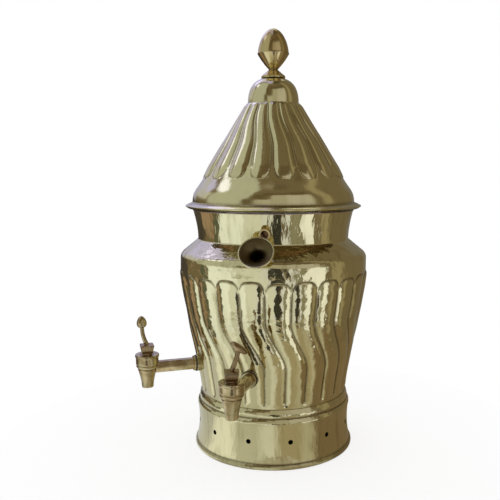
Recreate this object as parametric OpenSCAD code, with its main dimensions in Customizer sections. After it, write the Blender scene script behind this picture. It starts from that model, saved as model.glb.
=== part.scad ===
// Salep urn: a lobed brass urn that keeps a hot drink in a water jacket and pours it from two plug taps.
// The origin is on the urn's axis, in the plane that it stands on.
// +Z is up and the front tap points along -Y.
// Turns round the axis are in degrees from -Y towards +X.

/* [Sheet and fits] */
// Thickness of the brass sheet
wall = 1.5; // [1:0.1:2]
// Gap left for solder between nested pieces
seam_gap = 0.1; // [0.05:0.05:0.2]
// Radial clearance of a turning or pushed-in round fit
fit_gap = 0.06; // [0.03:0.01:0.1]
// Gap at rest between the lid and the vessel that it stands on
rest_gap = 0.3; // [0.2:0.1:0.5]

/* [Base ring] */
// Height of the base ring
base_h = 63; // [55:1:75]
// Radius of the flat face at the bottom of the hem
base_r = 119.5; // [118:0.5:124]
// Radius of the drum just above the hem
drum_r = 118; // [116.5:0.5:122]
// Radius of the drum at its waist
waist_r = 114.3; // [112:0.1:116]
// Radius of the drum at its top
drum_top_r = 116; // [114:0.5:118]
// Height of the rolled hem
hem_h = 8; // [6:1:16]
// How far the hem swells past the flat face
hem_swell = 3; // [1:0.5:4]
// Width of the flat foot inside the hem
hem_w = 8.5; // [7:0.5:12]
// Thickness of the flat foot inside the hem
hem_t = 3; // [2:0.5:4]
// Number of vent holes
vent_count = 12; // [6:1:18]
// Diameter of a vent hole
vent_d = 7; // [4:0.5:10]
// Height of the vent holes
vent_z = 38; // [28:1:46]
// Turn of the ring of vent holes
vent_turn = -2; // [-15:1:15]

/* [Foot collar] */
// Height of the collar
collar_h = 21; // [16:1:28]
// Height of the collar's lower roll
roll_h = 9; // [6:1:12]
// Radius of the collar at its bottom
collar_r = 116.4; // [115:0.1:119]
// Radius of the groove between the two rolls
groove_r = 113.4; // [112:0.1:114.5]
// How far a roll swells past a straight line
roll_swell = 2; // [0:0.5:4]
// Width of the lip round the body's foot
lip_w = 1; // [0.5:0.5:2]
// Width of the seat that the body stands on
seat_w = 5.5; // [4:0.5:8]

/* [Body] */
// Height of the body shell
body_h = 202; // [180:1:230]
// Radius of the body at its foot
foot_r = 109.8; // [108:0.1:111]
// Largest radius of the body
body_r = 139.6; // [136:0.1:146]
// Height of the plain band above the lobes
band_h = 18; // [12:1:26]
// How far the foot's curve keeps its upright start
foot_pull = 31; // [15:1:45]
// How far the belly's curve keeps its upright end
belly_pull = 33; // [15:1:50]
// Number of lobes
lobe_count = 24; // [16:1:32]
// How far a lobe rises from its creases
lobe_h = 3.5; // [1:0.1:5]
// Depth of the creases below the plain band
crease_d = 2; // [0.5:0.1:2.5]
// Turn of the creases at the top
lobe_turn = 11.3; // [0:0.1:15]
// How far the creases turn on their way down
lobe_swirl = 13.4; // [0:0.1:20]
// Distance below the lobes' tops at which the creases start to turn
swirl_down = 56; // [40:1:70]
// Height over which the creases turn
swirl_h = 74; // [50:1:100]
// Height over which the lobes fade at the foot
foot_fade = 8; // [4:1:14]

/* [Shoulder and neck] */
// Height of the shoulder
shoulder_h = 28; // [22:1:36]
// Height of the shoulder's rounded edge
edge_h = 11; // [6:1:14]
// How far the rounded edge draws in
edge_in = 6; // [3:0.5:8]
// Length of the lap inside the body's top edge
lap_h = 8; // [5:1:14]
// Height of the neck
neck_h = 42; // [36:1:52]
// Radius of the neck at its foot
neck_r = 112.8; // [108:0.1:116]
// Radius of the neck at its rim
rim_r = 119.5; // [117:0.1:123]

/* [Inner vessel] */
// Outer radius of the vessel
vessel_r = 96; // [88:0.5:99]
// Width of the vessel's flange past the neck's rim
vessel_lip = 1; // [0.5:0.5:2]
// Depth of the water under the vessel
jacket_gap = 26; // [20:1:32]
// Corner radius of the vessel's bottom
vessel_round = 8; // [4:1:8]
// Thickness of the jacket's floor plate
floor_t = 2; // [1.5:0.5:3]
// Outer radius of the outlet pipe
pipe_r = 8; // [6.5:0.1:8.5]
// Radius of the outlet pipe's bore
pipe_bore_r = 6; // [4:0.1:6]
// Least gap between the vessel and what reaches into the jacket
jacket_clear = 2; // [1:0.5:5]

/* [Filler cup and vent tube] */
// Turn of the filler cup
cup_turn = 6.8; // [0:0.1:14]
// Place of the cup down the shoulder, from the neck's foot
cup_down = 24; // [20:0.5:27]
// Angle of the cup's axis above level
cup_tilt = 39; // [30:1:50]
// Outer radius of the cup's throat
throat_r = 9; // [7:0.5:11]
// Radius of the cup's mouth
mouth_r = 23; // [18:0.5:24]
// Height of the cup above the shoulder
cup_h = 15; // [12:0.5:18]
// Length of the throat inside the shoulder
throat_l = 12; // [8:1:16]
// Thickness of the cup's sheet
cup_wall = 1.2; // [0.8:0.1:1.6]
// Radius of the rolled edge of the cup
cup_roll_r = 1.3; // [1:0.1:1.6]
// Turn of the vent tube
vent_tube_turn = 10.4; // [6:0.1:20]
// Height of the vent tube above the neck's foot
vent_tube_z = 16; // [16:0.5:24]
// Outer radius of the vent tube
vent_tube_r = 8; // [5:0.5:8.5]
// Radius of the vent tube's bore
vent_bore_r = 5.2; // [3:0.1:5.6]
// How far the vent tube stands out from the neck
vent_tube_out = 12; // [8:1:13]
// How far the vent tube reaches into the jacket
vent_tube_in = 6; // [4:1:9]

/* [Taps] */
// Height of the tap's shank above the body's foot
tap_up = 46; // [42:1:60]
// Angle between the two taps
tap_spread = 56; // [45:1:90]
// Turn of the front tap's lever from straight out
front_lever_turn = 110; // [60:2:150]
// Turn of the side tap's lever from straight out
side_lever_turn = 0; // [-25:1:25]
// Outer radius of the boss in the wall
boss_r = 12; // [11.5:0.5:15]
// How far the boss stands out from the lobes
boss_out = 5; // [4:0.5:10]
// How far the boss reaches inside the wall
boss_in = 8; // [6:0.5:8]
// Thickness of the sealing ring
seal_t = 1.5; // [1:0.5:3]
// Radius of the shank's spigot in the boss
spigot_r = 9.5; // [9:0.1:10.5]
// Length of the spigot in the boss
spigot_l = 12; // [8:0.5:12]
// Radius of the shank's collar
shank_collar_r = 11; // [10.8:0.1:12.5]
// Thickness of the shank's collar
shank_collar_t = 3; // [2:0.5:5]
// Width of the hexagonal shank across its flats
shank_af = 16; // [14:0.5:18]
// Length of the hexagonal shank
shank_l = 52.5; // [40:0.5:60]
// Radius of the shank's bore
shank_bore_r = 4.5; // [3:0.1:5]
// Radius of the barrel
barrel_r = 15; // [13.5:0.1:15.5]
// Height of the barrel above the shank's axis
barrel_up = 20; // [18:0.5:24]
// Height above the shank's axis at which the barrel starts to taper
taper_up = 5; // [3:0.5:8]
// Height of the barrel's taper
taper_h = 24; // [20:1:30]
// Radius of the barrel at the end of its taper
taper_r = 9; // [8:0.1:10]
// How far the taper draws in from a straight line
taper_hollow = 0.6; // [0:0.1:0.8]
// Length of the nozzle below the taper
nozzle_l = 10; // [8:1:18]
// Radius of the nozzle at its mouth
nozzle_r = 8; // [6:0.1:8.5]
// Radius of the nozzle's bore
nozzle_bore_r = 4.5; // [3:0.1:5]
// Radius of the barrel's flange
barrel_flange_r = 16; // [15.5:0.1:18]
// Thickness of the barrel's flange
barrel_flange_t = 4; // [3:0.5:5]
// Number of turned grooves round the barrel
turn_count = 2; // [1:1:3]
// Spacing of the turned grooves
turn_pitch = 6; // [3:0.1:6]
// Depth of a turned groove
turn_d = 0.7; // [0.3:0.1:1]
// Radius of the plug at the top of the barrel
plug_top_r = 9.6; // [9:0.1:10.5]
// Radius of the plug at its bottom end
plug_end_r = 8.4; // [7.5:0.1:8.6]
// Depth of the plug below the shank's axis
plug_down = 11; // [9:0.5:12]
// Height of the plug's neck above the barrel
plug_neck_h = 2; // [1:0.5:3]
// Width of the square head at its bottom
head_w = 15; // [13:0.5:17]
// Width of the square head at its top
head_top_w = 19.5; // [17:0.5:20]
// Height of the square head
head_h = 12; // [10:0.5:15]
// Radius of a lever's stem
stem_r = 3; // [1.8:0.1:3.4]
// Depth of the stem's hole in the head
stem_in = 7; // [5:0.5:8]
// Lean of the side tap's lever
bud_lean = 14; // [5:1:30]
// Length of the side lever's stem above the head
bud_stem_l = 23; // [16:1:30]
// Radius of the side lever's bud
bud_r = 7.2; // [5:0.1:8]
// Height of the bud
bud_h = 17; // [12:0.5:20]
// Lean of the front tap's lever
leaf_stem_lean = 18; // [10:1:30]
// Length of the front lever's stem from the head to the middle of its leaf
leaf_stem_l = 31; // [24:1:34]
// Length of the front lever's thumb leaf
leaf_l = 22; // [17:0.5:24]
// Width of the thumb leaf
leaf_w = 15; // [12:0.5:16]
// Thickness of the thumb leaf
leaf_t = 6.5; // [5:0.5:8]
// Lean of the thumb leaf's face
leaf_lean = 29; // [20:1:50]

/* [Lid] */
// Radius of the lid's flange
flange_r = 131; // [127:0.5:136]
// Radius at which the flange meets the swell
swell_r = 120.8; // [119:0.1:123]
// Height of the flange's upper slope
flange_h = 9; // [7:0.5:11]
// Height of the lid's ring
ring_h = 44; // [38:1:52]
// How far the swell draws in halfway up the ring
swell_in = 1; // [0.5:0.5:3]
// How far the swell draws in below its shoulder
swell_draw = 4; // [2:0.5:6]
// Thickness of the flange's edge
flange_edge = 1.5; // [1:0.5:2]
// Width of the ledge that the cone stands on
ledge_w = 8; // [5:0.5:10]
// Thickness of the skirt's flange
skirt_t = 1.2; // [0.8:0.1:2]
// Depth of the skirt in the vessel
skirt_h = 16; // [10:1:24]
// Gap round the skirt in the vessel's mouth
skirt_gap = 1; // [0.5:0.1:2]
// Radius of the cone at its foot
cone_r = 104.5; // [102:0.1:108]
// Height of the cone
cone_h = 109; // [95:1:125]
// Number of lobes on the cone
cone_lobes = 18; // [12:1:24]
// How far the cone's lobes rise at its foot
cone_lobe_h = 4; // [1:0.1:5]
// Height over which the tongues of the lobes round off
tongue_h = 18; // [10:1:24]
// Turn of the strips between the cone's lobes at its foot
cone_turn = 16.8; // [0:0.1:20]
// How far the strips turn on their way down
cone_swirl = 9; // [0:0.5:15]

/* [Cap and finial] */
// Radius of the dome cap
cap_r = 37.7; // [34:0.1:42]
// Height of the dome cap above the cone
cap_h = 37; // [30:1:44]
// How far below its flat the cap's dome keeps its round
cap_round = 3; // [1:0.5:5]
// Length of the cap inside the cone
cap_lap = 6; // [4:1:10]
// Radius of the flat on top of the cap
cap_flat_r = 12; // [10:0.5:15]
// Radius of the finial's flange
finial_flange_r = 17.7; // [15:0.1:20]
// Thickness of the finial's flange
finial_flange_t = 3; // [2:0.5:5]
// Height of the finial's neck above the cap
finial_neck_z = 12.5; // [10:0.5:15]
// Radius of the finial's neck
finial_neck_r = 6.4; // [5:0.1:8]
// Height of the finial's ridge above the cap
finial_ridge_z = 35; // [30:0.5:40]
// Radius of the finial's ridge
finial_ridge_r = 23.4; // [20:0.1:26]
// Thickness of the finial's ridge
finial_ridge_t = 2; // [1:0.5:3]
// Height of the finial
finial_h = 71; // [62:1:80]
// Radius of the finial's stud
stud_r = 3; // [2:0.1:3.5]
// Length of the stud inside the finial
stud_up = 16; // [12:1:20]
// Length of the stud below the cap
stud_down = 11; // [9:0.5:14]
// Thickness of the finial's washer
washer_t = 1.2; // [0.8:0.1:2]
// Radius of the finial's washer
washer_r = 8; // [7:0.5:10]
// Width of the finial's nut across its flats
nut_af = 10; // [9:0.5:13]
// Thickness of the finial's nut
nut_t = 5; // [4:0.5:6]

/* [Burner] */
// Width of the bracket across the base
bracket_w = 26; // [20:1:34]
// Thickness of the bracket
bracket_t = 2; // [1.5:0.5:3]
// Gap between the bracket's ends and the drum
bracket_gap = 1.2; // [0.6:0.1:2]
// Radius of a bracket rivet
rivet_r = 1.5; // [1:0.1:1.8]
// Distance of the rivets from the hem's inner wall
rivet_in = 4.5; // [4:0.1:5]
// Spacing of the pair of rivets at each end of the bracket
rivet_gap = 14; // [10:1:16]
// Radius of the fuel cup
fuel_r = 32; // [26:1:38]
// Height of the fuel cup
fuel_h = 24; // [20:1:28]
// Height of the burner's cap above the cup
burner_cap_h = 8; // [5:1:10]
// Radius of the wick
wick_r = 9; // [6:0.5:12]
// Height of the wick above the burner's cap
wick_up = 5; // [3:1:8]
// Radius of the burner's screw
screw_r = 2.5; // [2:0.1:3]
// Length of the burner's screw inside the fuel cup
screw_in = 4; // [3:0.5:6]
// Depth of the cap's rim inside the fuel cup
cap_rim_h = 4; // [3:0.5:6]
// Height of the wick's end above the bracket
wick_foot = 7.5; // [7:0.5:10]

/* [Hidden] */
$fn = 96;

// Colours as the photograph shows them
brass = "#c8bc84";
bronze = "#8a7048";
tin = "#c9c9c4";
dark_rubber = "#3a3632";

// Facets of the lobed sheets
lobe_facets = 4;
body_rows = 11;
cone_rows = 9;
curve_steps = 8;
overlap = 1;

// Heights of the stacked pieces
z_body = base_h + collar_h;
z_edge = z_body + body_h;
z_lobe = z_edge - band_h;
z_neck = z_edge + shoulder_h;
z_rim = z_neck + neck_h;
z_skirt = z_rim + wall + rest_gap;
z_lid = z_skirt + skirt_t;
z_cone = z_lid + ring_h;
z_cap = z_cone + cone_h;
z_top = z_cap + cap_h;
z_floor = z_body + floor_t;
z_vessel = z_floor + jacket_gap;

// Radii that follow from a neighbour
hem_in_r = min(base_r, drum_r) - wall;
seat_r = foot_r - seat_w;
foot_in_r = foot_r - wall;
lap_r = body_r - wall - seam_gap;
cone_top_r = cap_r + seam_gap + wall;
skirt_r = vessel_r - wall - skirt_gap;

// The body's outline from its foot to the top of the lobes, and its radius at a height
function body_curve(n) = curve3(
    [foot_r, z_body], [foot_r, z_body + foot_pull], [body_r, z_lobe - belly_pull], [body_r, z_lobe], n);
body_table = [for (p = body_curve(4 * body_rows)) [p[1], p[0]]];

// Places along a tap, from the urn's axis outwards, clear of the vessel
tap_z = z_body + tap_up;
jacket_in_r = vessel_r + jacket_clear;
boss_inner = max(lookup(tap_z, body_table) - wall - lobe_h - boss_in, jacket_in_r);
boss_outer = lookup(tap_z, body_table) + boss_out;
seal_outer = boss_outer + seal_t;
shank_inner = seal_outer + shank_collar_t;
tap_r = shank_inner + shank_l + barrel_r;
z_barrel = tap_z + barrel_up;
z_taper = tap_z + taper_up;
z_nozzle = z_taper - taper_h;
z_mouth = z_nozzle - nozzle_l;
z_plug = tap_z - plug_down;
z_head = z_barrel + plug_neck_h;
z_lever = z_head + head_h;

// Inner end of the vent tube
vent_inner = max(neck_r - vent_tube_in, jacket_in_r);

// Where the filler cup's axis meets the shoulder's slope
shoulder_slope = unit([body_r - edge_in - neck_r, edge_h - shoulder_h]);
cup_place = [neck_r, z_neck] + shoulder_slope * cup_down;

// Points along a curve with one or two control points
function curve2(a, b, c, n) = [
    for (i = [0:n])
        let (t = i / n, s = 1 - t)
            a * s ^ 2 + b * 2 * s * t + c * t ^ 2];
function curve3(a, b, c, d, n) = [
    for (i = [0:n])
        let (t = i / n, s = 1 - t)
            a * s ^ 3 + b * 3 * s ^ 2 * t + c * 3 * s * t ^ 2 + d * t ^ 3];

// A polyline moved sideways by a sheet's thickness, and the closed outline of that sheet
function unit(v) = v / norm(v);
function side(a, b) = let (d = unit(b - a)) [-d[1], d[0]];
function inset(p, t) = let (e = len(p) - 1) [
    for (i = [0:e])
        let (
            u = side(p[max(i - 1, 0)], p[max(i, 1)]),
            v = side(p[min(i, e - 1)], p[min(i + 1, e)]),
            m = unit(u + v))
            p[i] + m * t / (m * u)];
function flip(p) = [for (i = [len(p) - 1:-1:0]) p[i]];
function sheet(p, t) = concat(p, flip(inset(p, t)));

// A step that eases from 0 to 1 while x goes from a to b
function ease(a, b, x) = let (t = min(1, max(0, (x - a) / (b - a)))) t * t * (3 - 2 * t);

// One lobe across its width, 0 at a crease and 1 on its crest, and its rounded end, s arch heights in
function bulge(u) = 1 - (2 * u - 1) ^ 2;
function arch(u, s) = sqrt(min(1, max(0, s - 1 + sqrt(bulge(u)))));

// Radius and turn of the body's lobes at a height
function body_radius(u, z) =
    let (s = (z_lobe - z) / (PI * body_r / lobe_count), fade = ease(z_floor, z_floor + foot_fade, z))
        lookup(z, body_table) + fade * (lobe_h * bulge(u) * arch(u, s) - crease_d * ease(0, 1, s));
function body_turn(z) =
    let (z_swirl = z_lobe - swirl_down) lobe_turn + lobe_swirl * ease(z_swirl, z_swirl - swirl_h, z);

// Radius and turn of the cone's lobes at a height
function cone_radius(u, z) =
    let (up = (z - z_cone) / cone_h, r = cone_r + (cone_top_r - cone_r) * up, fade = ease(0, 0.04, 1 - up))
        r + fade * cone_lobe_h * r / cone_r * bulge(u) * arch(u, (z - z_cone) / tongue_h);
function cone_turn_at(z) = cone_turn - cone_swirl * ease(z_cone + cone_h * 0.4, z_cone + cone_h * 0.9, z);

// Rows of heights that lie closer together towards both ends
function rows_between(a, b, n) = [for (i = [0:n]) a + (b - a) * (1 - cos(180 * i / n)) / 2];

// A lobed sheet: outer and inner points in rows, joined by triangles
module lobed_sheet(outer, inner, cols) {
    rows = len(outer) / cols;
    half = len(outer);
    function at(i, j) = i * cols + j % cols;
    side_faces = [
        for (i = [0:rows - 2], j = [0:cols - 1])
            let (a = at(i, j), b = at(i, j + 1), c = at(i + 1, j + 1), d = at(i + 1, j))
                each [[a, d, c], [a, c, b], [half + a, half + b, half + c], [half + a, half + c, half + d]]];
    rim_faces = [
        for (j = [0:cols - 1])
            let (a = at(0, j), b = at(0, j + 1), c = at(rows - 1, j), d = at(rows - 1, j + 1))
                each [[a, b, half + b], [a, half + b, half + a], [c, half + c, half + d], [c, half + d, d]]];
    polyhedron(points = concat(outer, inner), faces = concat(side_faces, rim_faces));
}

// A point at a radius, a turn and a height
function polar(r, turn, z) = [r * sin(turn), -r * cos(turn), z];

// Children moved to a turn round the axis, or laid along a radius from one place to another
module at_turn(turn) {
    rotate([0, 0, turn]) children();
}

module radial_rod(r, from, to, z) {
    translate([0, -from, z]) rotate([90, 0, 0]) cylinder(r = r, h = to - from);
}

module ring_of(outline) {
    rotate_extrude() polygon(outline);
}

module base_ring() {
    hem = curve2([base_r, 0], [base_r + hem_swell, hem_h * 0.45], [drum_r, hem_h], curve_steps);
    waist_pull = 2 * waist_r - (drum_r + drum_top_r) / 2;
    drum = curve2([drum_r, hem_h], [waist_pull, (hem_h + base_h) / 2], [drum_top_r, base_h], curve_steps);
    outer = concat(hem, [for (i = [1:curve_steps]) drum[i]]);
    inner = [for (p = inset(outer, wall)) if (p[1] > hem_t && p[1] < base_h - wall) p];
    foot_in = hem_in_r - hem_w;
    color(brass) difference() {
        ring_of(concat(
            outer, [[seat_r, base_h], [seat_r, base_h - wall], [drum_top_r - wall, base_h - wall]],
            flip(inner), [[inner[0][0], hem_t], [foot_in, hem_t], [foot_in, 0]]));
        for (i = [0:vent_count - 1])
            at_turn(vent_turn + i * 360 / vent_count)
                radial_rod(vent_d / 2, waist_r - 2 * wall, drum_r + overlap, vent_z);
        for (p = rivet_places)
            translate([p[0], p[1], -overlap]) cylinder(r = rivet_r + fit_gap, h = hem_t + 2 * overlap);
    }
}

module foot_collar() {
    top_r = foot_r + lip_w;
    lower = curve2(
        [collar_r, base_h], [(collar_r + groove_r) / 2 + roll_swell, base_h + roll_h / 2],
        [groove_r, base_h + roll_h], curve_steps);
    upper = curve2(
        [groove_r, base_h + roll_h], [(groove_r + top_r) / 2 + roll_swell, (base_h + roll_h + z_body) / 2],
        [top_r, z_body], curve_steps);
    color(brass) ring_of(concat(
        [[seat_r, base_h]], lower, [for (i = [1:curve_steps]) upper[i]], [[seat_r, z_body]]));
}

module body_shell() {
    cols = lobe_count * lobe_facets;
    heights = concat([z_body], rows_between(z_floor, z_lobe, body_rows), [z_edge]);
    function sheet_points(t) = [
        for (z = heights, j = [0:cols - 1])
            let (u = (j % lobe_facets) / lobe_facets, r = z > z_lobe ? body_r : body_radius(u, z))
                polar(r - t, body_turn(z) + j * 360 / cols, z)];
    color(brass) difference() {
        lobed_sheet(sheet_points(0), sheet_points(wall), cols);
        for (turn = [0, -tap_spread])
            at_turn(turn) radial_rod(boss_r + fit_gap, boss_inner, boss_outer, tap_z);
    }
}

module shoulder_neck() {
    edge = curve2(
        [body_r, z_edge], [body_r, z_edge + edge_h * 0.6], [body_r - edge_in, z_edge + edge_h], curve_steps);
    neck = curve2([neck_r, z_neck], [neck_r, z_neck + neck_h * 0.4], [rim_r, z_rim], curve_steps);
    outer = concat(edge, neck);
    inner = [for (p = inset(outer, wall)) if (p[0] < lap_r - wall && p[1] < z_rim) p];
    color(brass) difference() {
        ring_of(concat(
            outer, [[rim_r - wall, z_rim]], flip(inner),
            [[lap_r - wall, inner[0][1]], [lap_r - wall, z_edge - lap_h]],
            [[lap_r, z_edge - lap_h], [lap_r, z_edge]]));
        on_shoulder() translate([0, 0, -throat_l]) cylinder(r = throat_r + fit_gap, h = 2 * throat_l);
        at_turn(vent_tube_turn)
            radial_rod(vent_tube_r + fit_gap, vent_inner - wall, rim_r, z_neck + vent_tube_z);
    }
}

module jacket_floor() {
    floor_r = foot_in_r * cos(180 / (lobe_count * lobe_facets)) - seam_gap;
    color(tin) translate([0, 0, z_body]) cylinder(r = floor_r, h = floor_t);
}

module inner_vessel() {
    corner = curve2(
        [vessel_r - vessel_round, z_vessel], [vessel_r, z_vessel],
        [vessel_r, z_vessel + vessel_round], curve_steps);
    outer = concat([[0, z_vessel]], corner, [[vessel_r, z_rim]]);
    inside = flip(inset(outer, wall));
    lip_r = rim_r + vessel_lip;
    color(tin) difference() {
        ring_of(concat(
            outer, [[lip_r, z_rim], [lip_r, z_rim + wall], [vessel_r - wall, z_rim + wall]],
            [for (i = [1:len(inside) - 1]) inside[i]]));
        radial_rod(pipe_r + fit_gap, vessel_r - 2 * wall, vessel_r + wall, tap_z);
    }
}

module salep_outlet_pipe() {
    inner_end = vessel_r - 2 * wall;
    outer_end = boss_outer - spigot_l - overlap;
    color(tin) difference() {
        radial_rod(pipe_r, inner_end, outer_end, tap_z);
        radial_rod(pipe_bore_r, inner_end - overlap, outer_end + overlap, tap_z);
    }
}

// Children stood on the shoulder along the filler cup's axis
module on_shoulder() {
    at_turn(cup_turn) translate([0, -cup_place[0], cup_place[1]]) rotate([90 - cup_tilt, 0, 0]) children();
}

module filler_cup() {
    flare = curve2([throat_r, cup_wall], [throat_r, cup_h * 0.7], [mouth_r, cup_h], curve_steps);
    color(brass) on_shoulder() {
        ring_of(sheet(concat([[throat_r, -throat_l]], flare), cup_wall));
        rotate_extrude() translate([mouth_r, cup_h]) circle(r = cup_roll_r, $fn = 24);
    }
}

module vent_tube() {
    outer_end = neck_r + vent_tube_out;
    color(brass) at_turn(vent_tube_turn) difference() {
        radial_rod(vent_tube_r, vent_inner, outer_end, z_neck + vent_tube_z);
        radial_rod(vent_bore_r, vent_inner - overlap, outer_end + overlap, z_neck + vent_tube_z);
    }
}

module tap_boss() {
    color(brass) difference() {
        radial_rod(boss_r, boss_inner, boss_outer, tap_z);
        radial_rod(pipe_r + fit_gap, boss_inner - overlap, boss_outer, tap_z);
        radial_rod(spigot_r + fit_gap, boss_outer - spigot_l - fit_gap, boss_outer + overlap, tap_z);
    }
}

module tap_seal() {
    color(dark_rubber) difference() {
        radial_rod(boss_r, boss_outer, seal_outer, tap_z);
        radial_rod(spigot_r + fit_gap, boss_outer - overlap, seal_outer + overlap, tap_z);
    }
}

// Radius of the tapered seat of the plug at a height
function seat_radius(z) = plug_end_r + (plug_top_r - plug_end_r) * (z - z_plug) / (z_barrel - z_plug);

// Children moved onto the barrel's axis
module on_barrel() {
    translate([0, -tap_r, 0]) children();
}

// The barrel's taper from its lower end, and its radius at a height
taper_mid = [(taper_r + barrel_r) / 2 - 2 * taper_hollow, (z_nozzle + z_taper) / 2];
taper = curve2([taper_r, z_nozzle], taper_mid, [barrel_r, z_taper], curve_steps);
taper_table = [for (p = taper) [p[1], p[0]]];

module barrel() {
    on_barrel() difference() {
        ring_of(concat(
            [[0, z_mouth], [nozzle_r, z_mouth]], taper,
            [[barrel_r, z_barrel - barrel_flange_t], [barrel_flange_r, z_barrel - barrel_flange_t],
                [barrel_flange_r, z_barrel], [0, z_barrel]]));
        for (i = [0:turn_count - 1])
            let (z = z_taper - i * turn_pitch, r = lookup(z, taper_table) - turn_d)
                ring_of([[r, z], [r + 2 * turn_d, z - 2 * turn_d], [r + 2 * turn_d, z + 2 * turn_d]]);
    }
}

module tap_body() {
    color(bronze) difference() {
        union() {
            barrel();
            translate([0, -shank_inner, tap_z]) rotate([90, 0, 0])
                cylinder(d = shank_af / cos(30), h = shank_l + barrel_r / 2, $fn = 6);
            radial_rod(shank_collar_r, seal_outer, shank_inner, tap_z);
            radial_rod(spigot_r, boss_outer - spigot_l, shank_inner, tap_z);
        }
        on_barrel() ring_of([
            [0, z_plug - plug_neck_h], [seat_radius(z_plug - plug_neck_h) + fit_gap, z_plug - plug_neck_h],
            [seat_radius(z_barrel + overlap) + fit_gap, z_barrel + overlap], [0, z_barrel + overlap]]);
        on_barrel() translate([0, 0, z_mouth - overlap]) cylinder(r = nozzle_bore_r, h = z_plug - z_mouth);
        radial_rod(shank_bore_r, boss_outer - spigot_l - overlap, tap_r, tap_z);
    }
}

// The plug's port lies across the shank, so the tap is shut whichever way its lever points
module tap_plug(turn, lean) {
    color(bronze) on_barrel() difference() {
        union() {
            ring_of([
                [0, z_plug], [plug_end_r, z_plug], [plug_top_r, z_barrel],
                [head_w / 2, z_barrel], [head_w / 2, z_head], [0, z_head]]);
            rotate([0, 0, turn]) intersection() {
                head_taper();
                rotate([0, 0, 90]) head_taper();
            }
        }
        translate([0, 0, z_plug - overlap])
            cylinder(r = nozzle_bore_r, h = plug_down + shank_bore_r + overlap);
        translate([-barrel_r, 0, tap_z]) rotate([0, 90, 0]) cylinder(r = shank_bore_r, h = 2 * barrel_r);
        rotate([0, 0, turn]) on_head(lean)
            translate([0, 0, -stem_in]) cylinder(r = stem_r + fit_gap, h = 2 * stem_in);
    }
}

// A plate with slanting edges, as thick as the head is wide
module head_taper() {
    rotate([90, 0, 0]) translate([0, 0, -head_top_w / 2]) linear_extrude(head_top_w) polygon([
        [-head_w / 2, z_head - overlap / 2], [head_w / 2, z_head - overlap / 2],
        [head_top_w / 2, z_lever], [-head_top_w / 2, z_lever]]);
}

// Children stood on top of the head, leaning outwards
module on_head(lean) {
    translate([0, 0, z_lever]) rotate([lean, 0, 0]) children();
}

// Outline of the thumb leaf: a round end, and straight sides that touch it and meet in a point
module leaf_outline() {
    round_r = leaf_w / 2;
    point = leaf_l - round_r;
    rise = asin(round_r / point);
    translate([0, round_r - leaf_l / 2]) {
        circle(r = round_r);
        polygon([
            [round_r * cos(rise), round_r * sin(rise)], [0, point],
            [-round_r * cos(rise), round_r * sin(rise)]]);
    }
}

module leaf_lever(turn) {
    color(bronze) on_barrel() rotate([0, 0, turn]) on_head(leaf_stem_lean) {
        translate([0, 0, -stem_in]) cylinder(r = stem_r, h = stem_in + leaf_stem_l);
        translate([0, 0, leaf_stem_l]) rotate([leaf_lean - leaf_stem_lean, 0, 0])
            linear_extrude(leaf_t, center = true) leaf_outline();
    }
}

module bud_lever(turn) {
    bud = curve3(
        [stem_r, 0], [bud_r * 1.7, bud_h * 0.1], [bud_r * 0.8, bud_h * 0.75], [0, bud_h], curve_steps);
    color(bronze) on_barrel() rotate([0, 0, turn]) on_head(bud_lean) {
        translate([0, 0, -stem_in]) cylinder(r = stem_r, h = stem_in + bud_stem_l + overlap);
        translate([0, 0, bud_stem_l]) ring_of(concat([[0, 0]], bud));
    }
}

module salep_tap_boss() { tap_boss(); }
module salep_tap_seal() { tap_seal(); }
module salep_tap_body() { tap_body(); }
module salep_tap_plug() { tap_plug(front_lever_turn, leaf_stem_lean); }
module salep_tap_lever() { leaf_lever(front_lever_turn); }
module water_tap_boss() { at_turn(-tap_spread) tap_boss(); }
module water_tap_seal() { at_turn(-tap_spread) tap_seal(); }
module water_tap_body() { at_turn(-tap_spread) tap_body(); }
module water_tap_plug() { at_turn(-tap_spread) tap_plug(side_lever_turn, bud_lean); }
module water_tap_lever() { at_turn(-tap_spread) bud_lever(side_lever_turn); }

module lid_ring() {
    flange = [
        [cone_r, z_lid], [flange_r - 3 * flange_edge, z_lid], [flange_r, z_lid + 2 * flange_edge],
        [flange_r, z_lid + 3 * flange_edge], [swell_r + 3 * flange_edge, z_lid + flange_h - flange_edge]];
    swell = curve3(
        [swell_r, z_lid + flange_h], [swell_r - swell_in, z_lid + ring_h * 0.6],
        [swell_r - swell_draw, z_lid + ring_h * 0.7], [cone_r, z_cone], curve_steps);
    color(brass) ring_of(sheet(concat(flange, swell, [[cone_r - ledge_w, z_cone]]), wall));
}

module lid_skirt() {
    color(tin) ring_of([
        [skirt_r - wall, z_skirt - skirt_h], [skirt_r, z_skirt - skirt_h], [skirt_r, z_skirt],
        [swell_r, z_skirt], [swell_r, z_lid], [skirt_r - wall, z_lid]]);
}

module lid_cone() {
    cols = cone_lobes * lobe_facets;
    heights = rows_between(z_cone, z_cap, cone_rows);
    function sheet_points(t) = [
        for (z = heights, j = [0:cols - 1])
            let (u = (j % lobe_facets) / lobe_facets)
                polar(cone_radius(u, z) - t, cone_turn_at(z) + j * 360 / cols, z)];
    color(brass) lobed_sheet(sheet_points(0), sheet_points(wall), cols);
}

module lid_cap() {
    dome = curve2([cap_r, z_cap], [cap_r, z_top - cap_round], [cap_flat_r, z_top], curve_steps);
    color(brass) ring_of(sheet(
        concat([[cap_r, z_cap - cap_lap]], dome, [[stud_r + fit_gap, z_top]]), wall));
}

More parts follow.
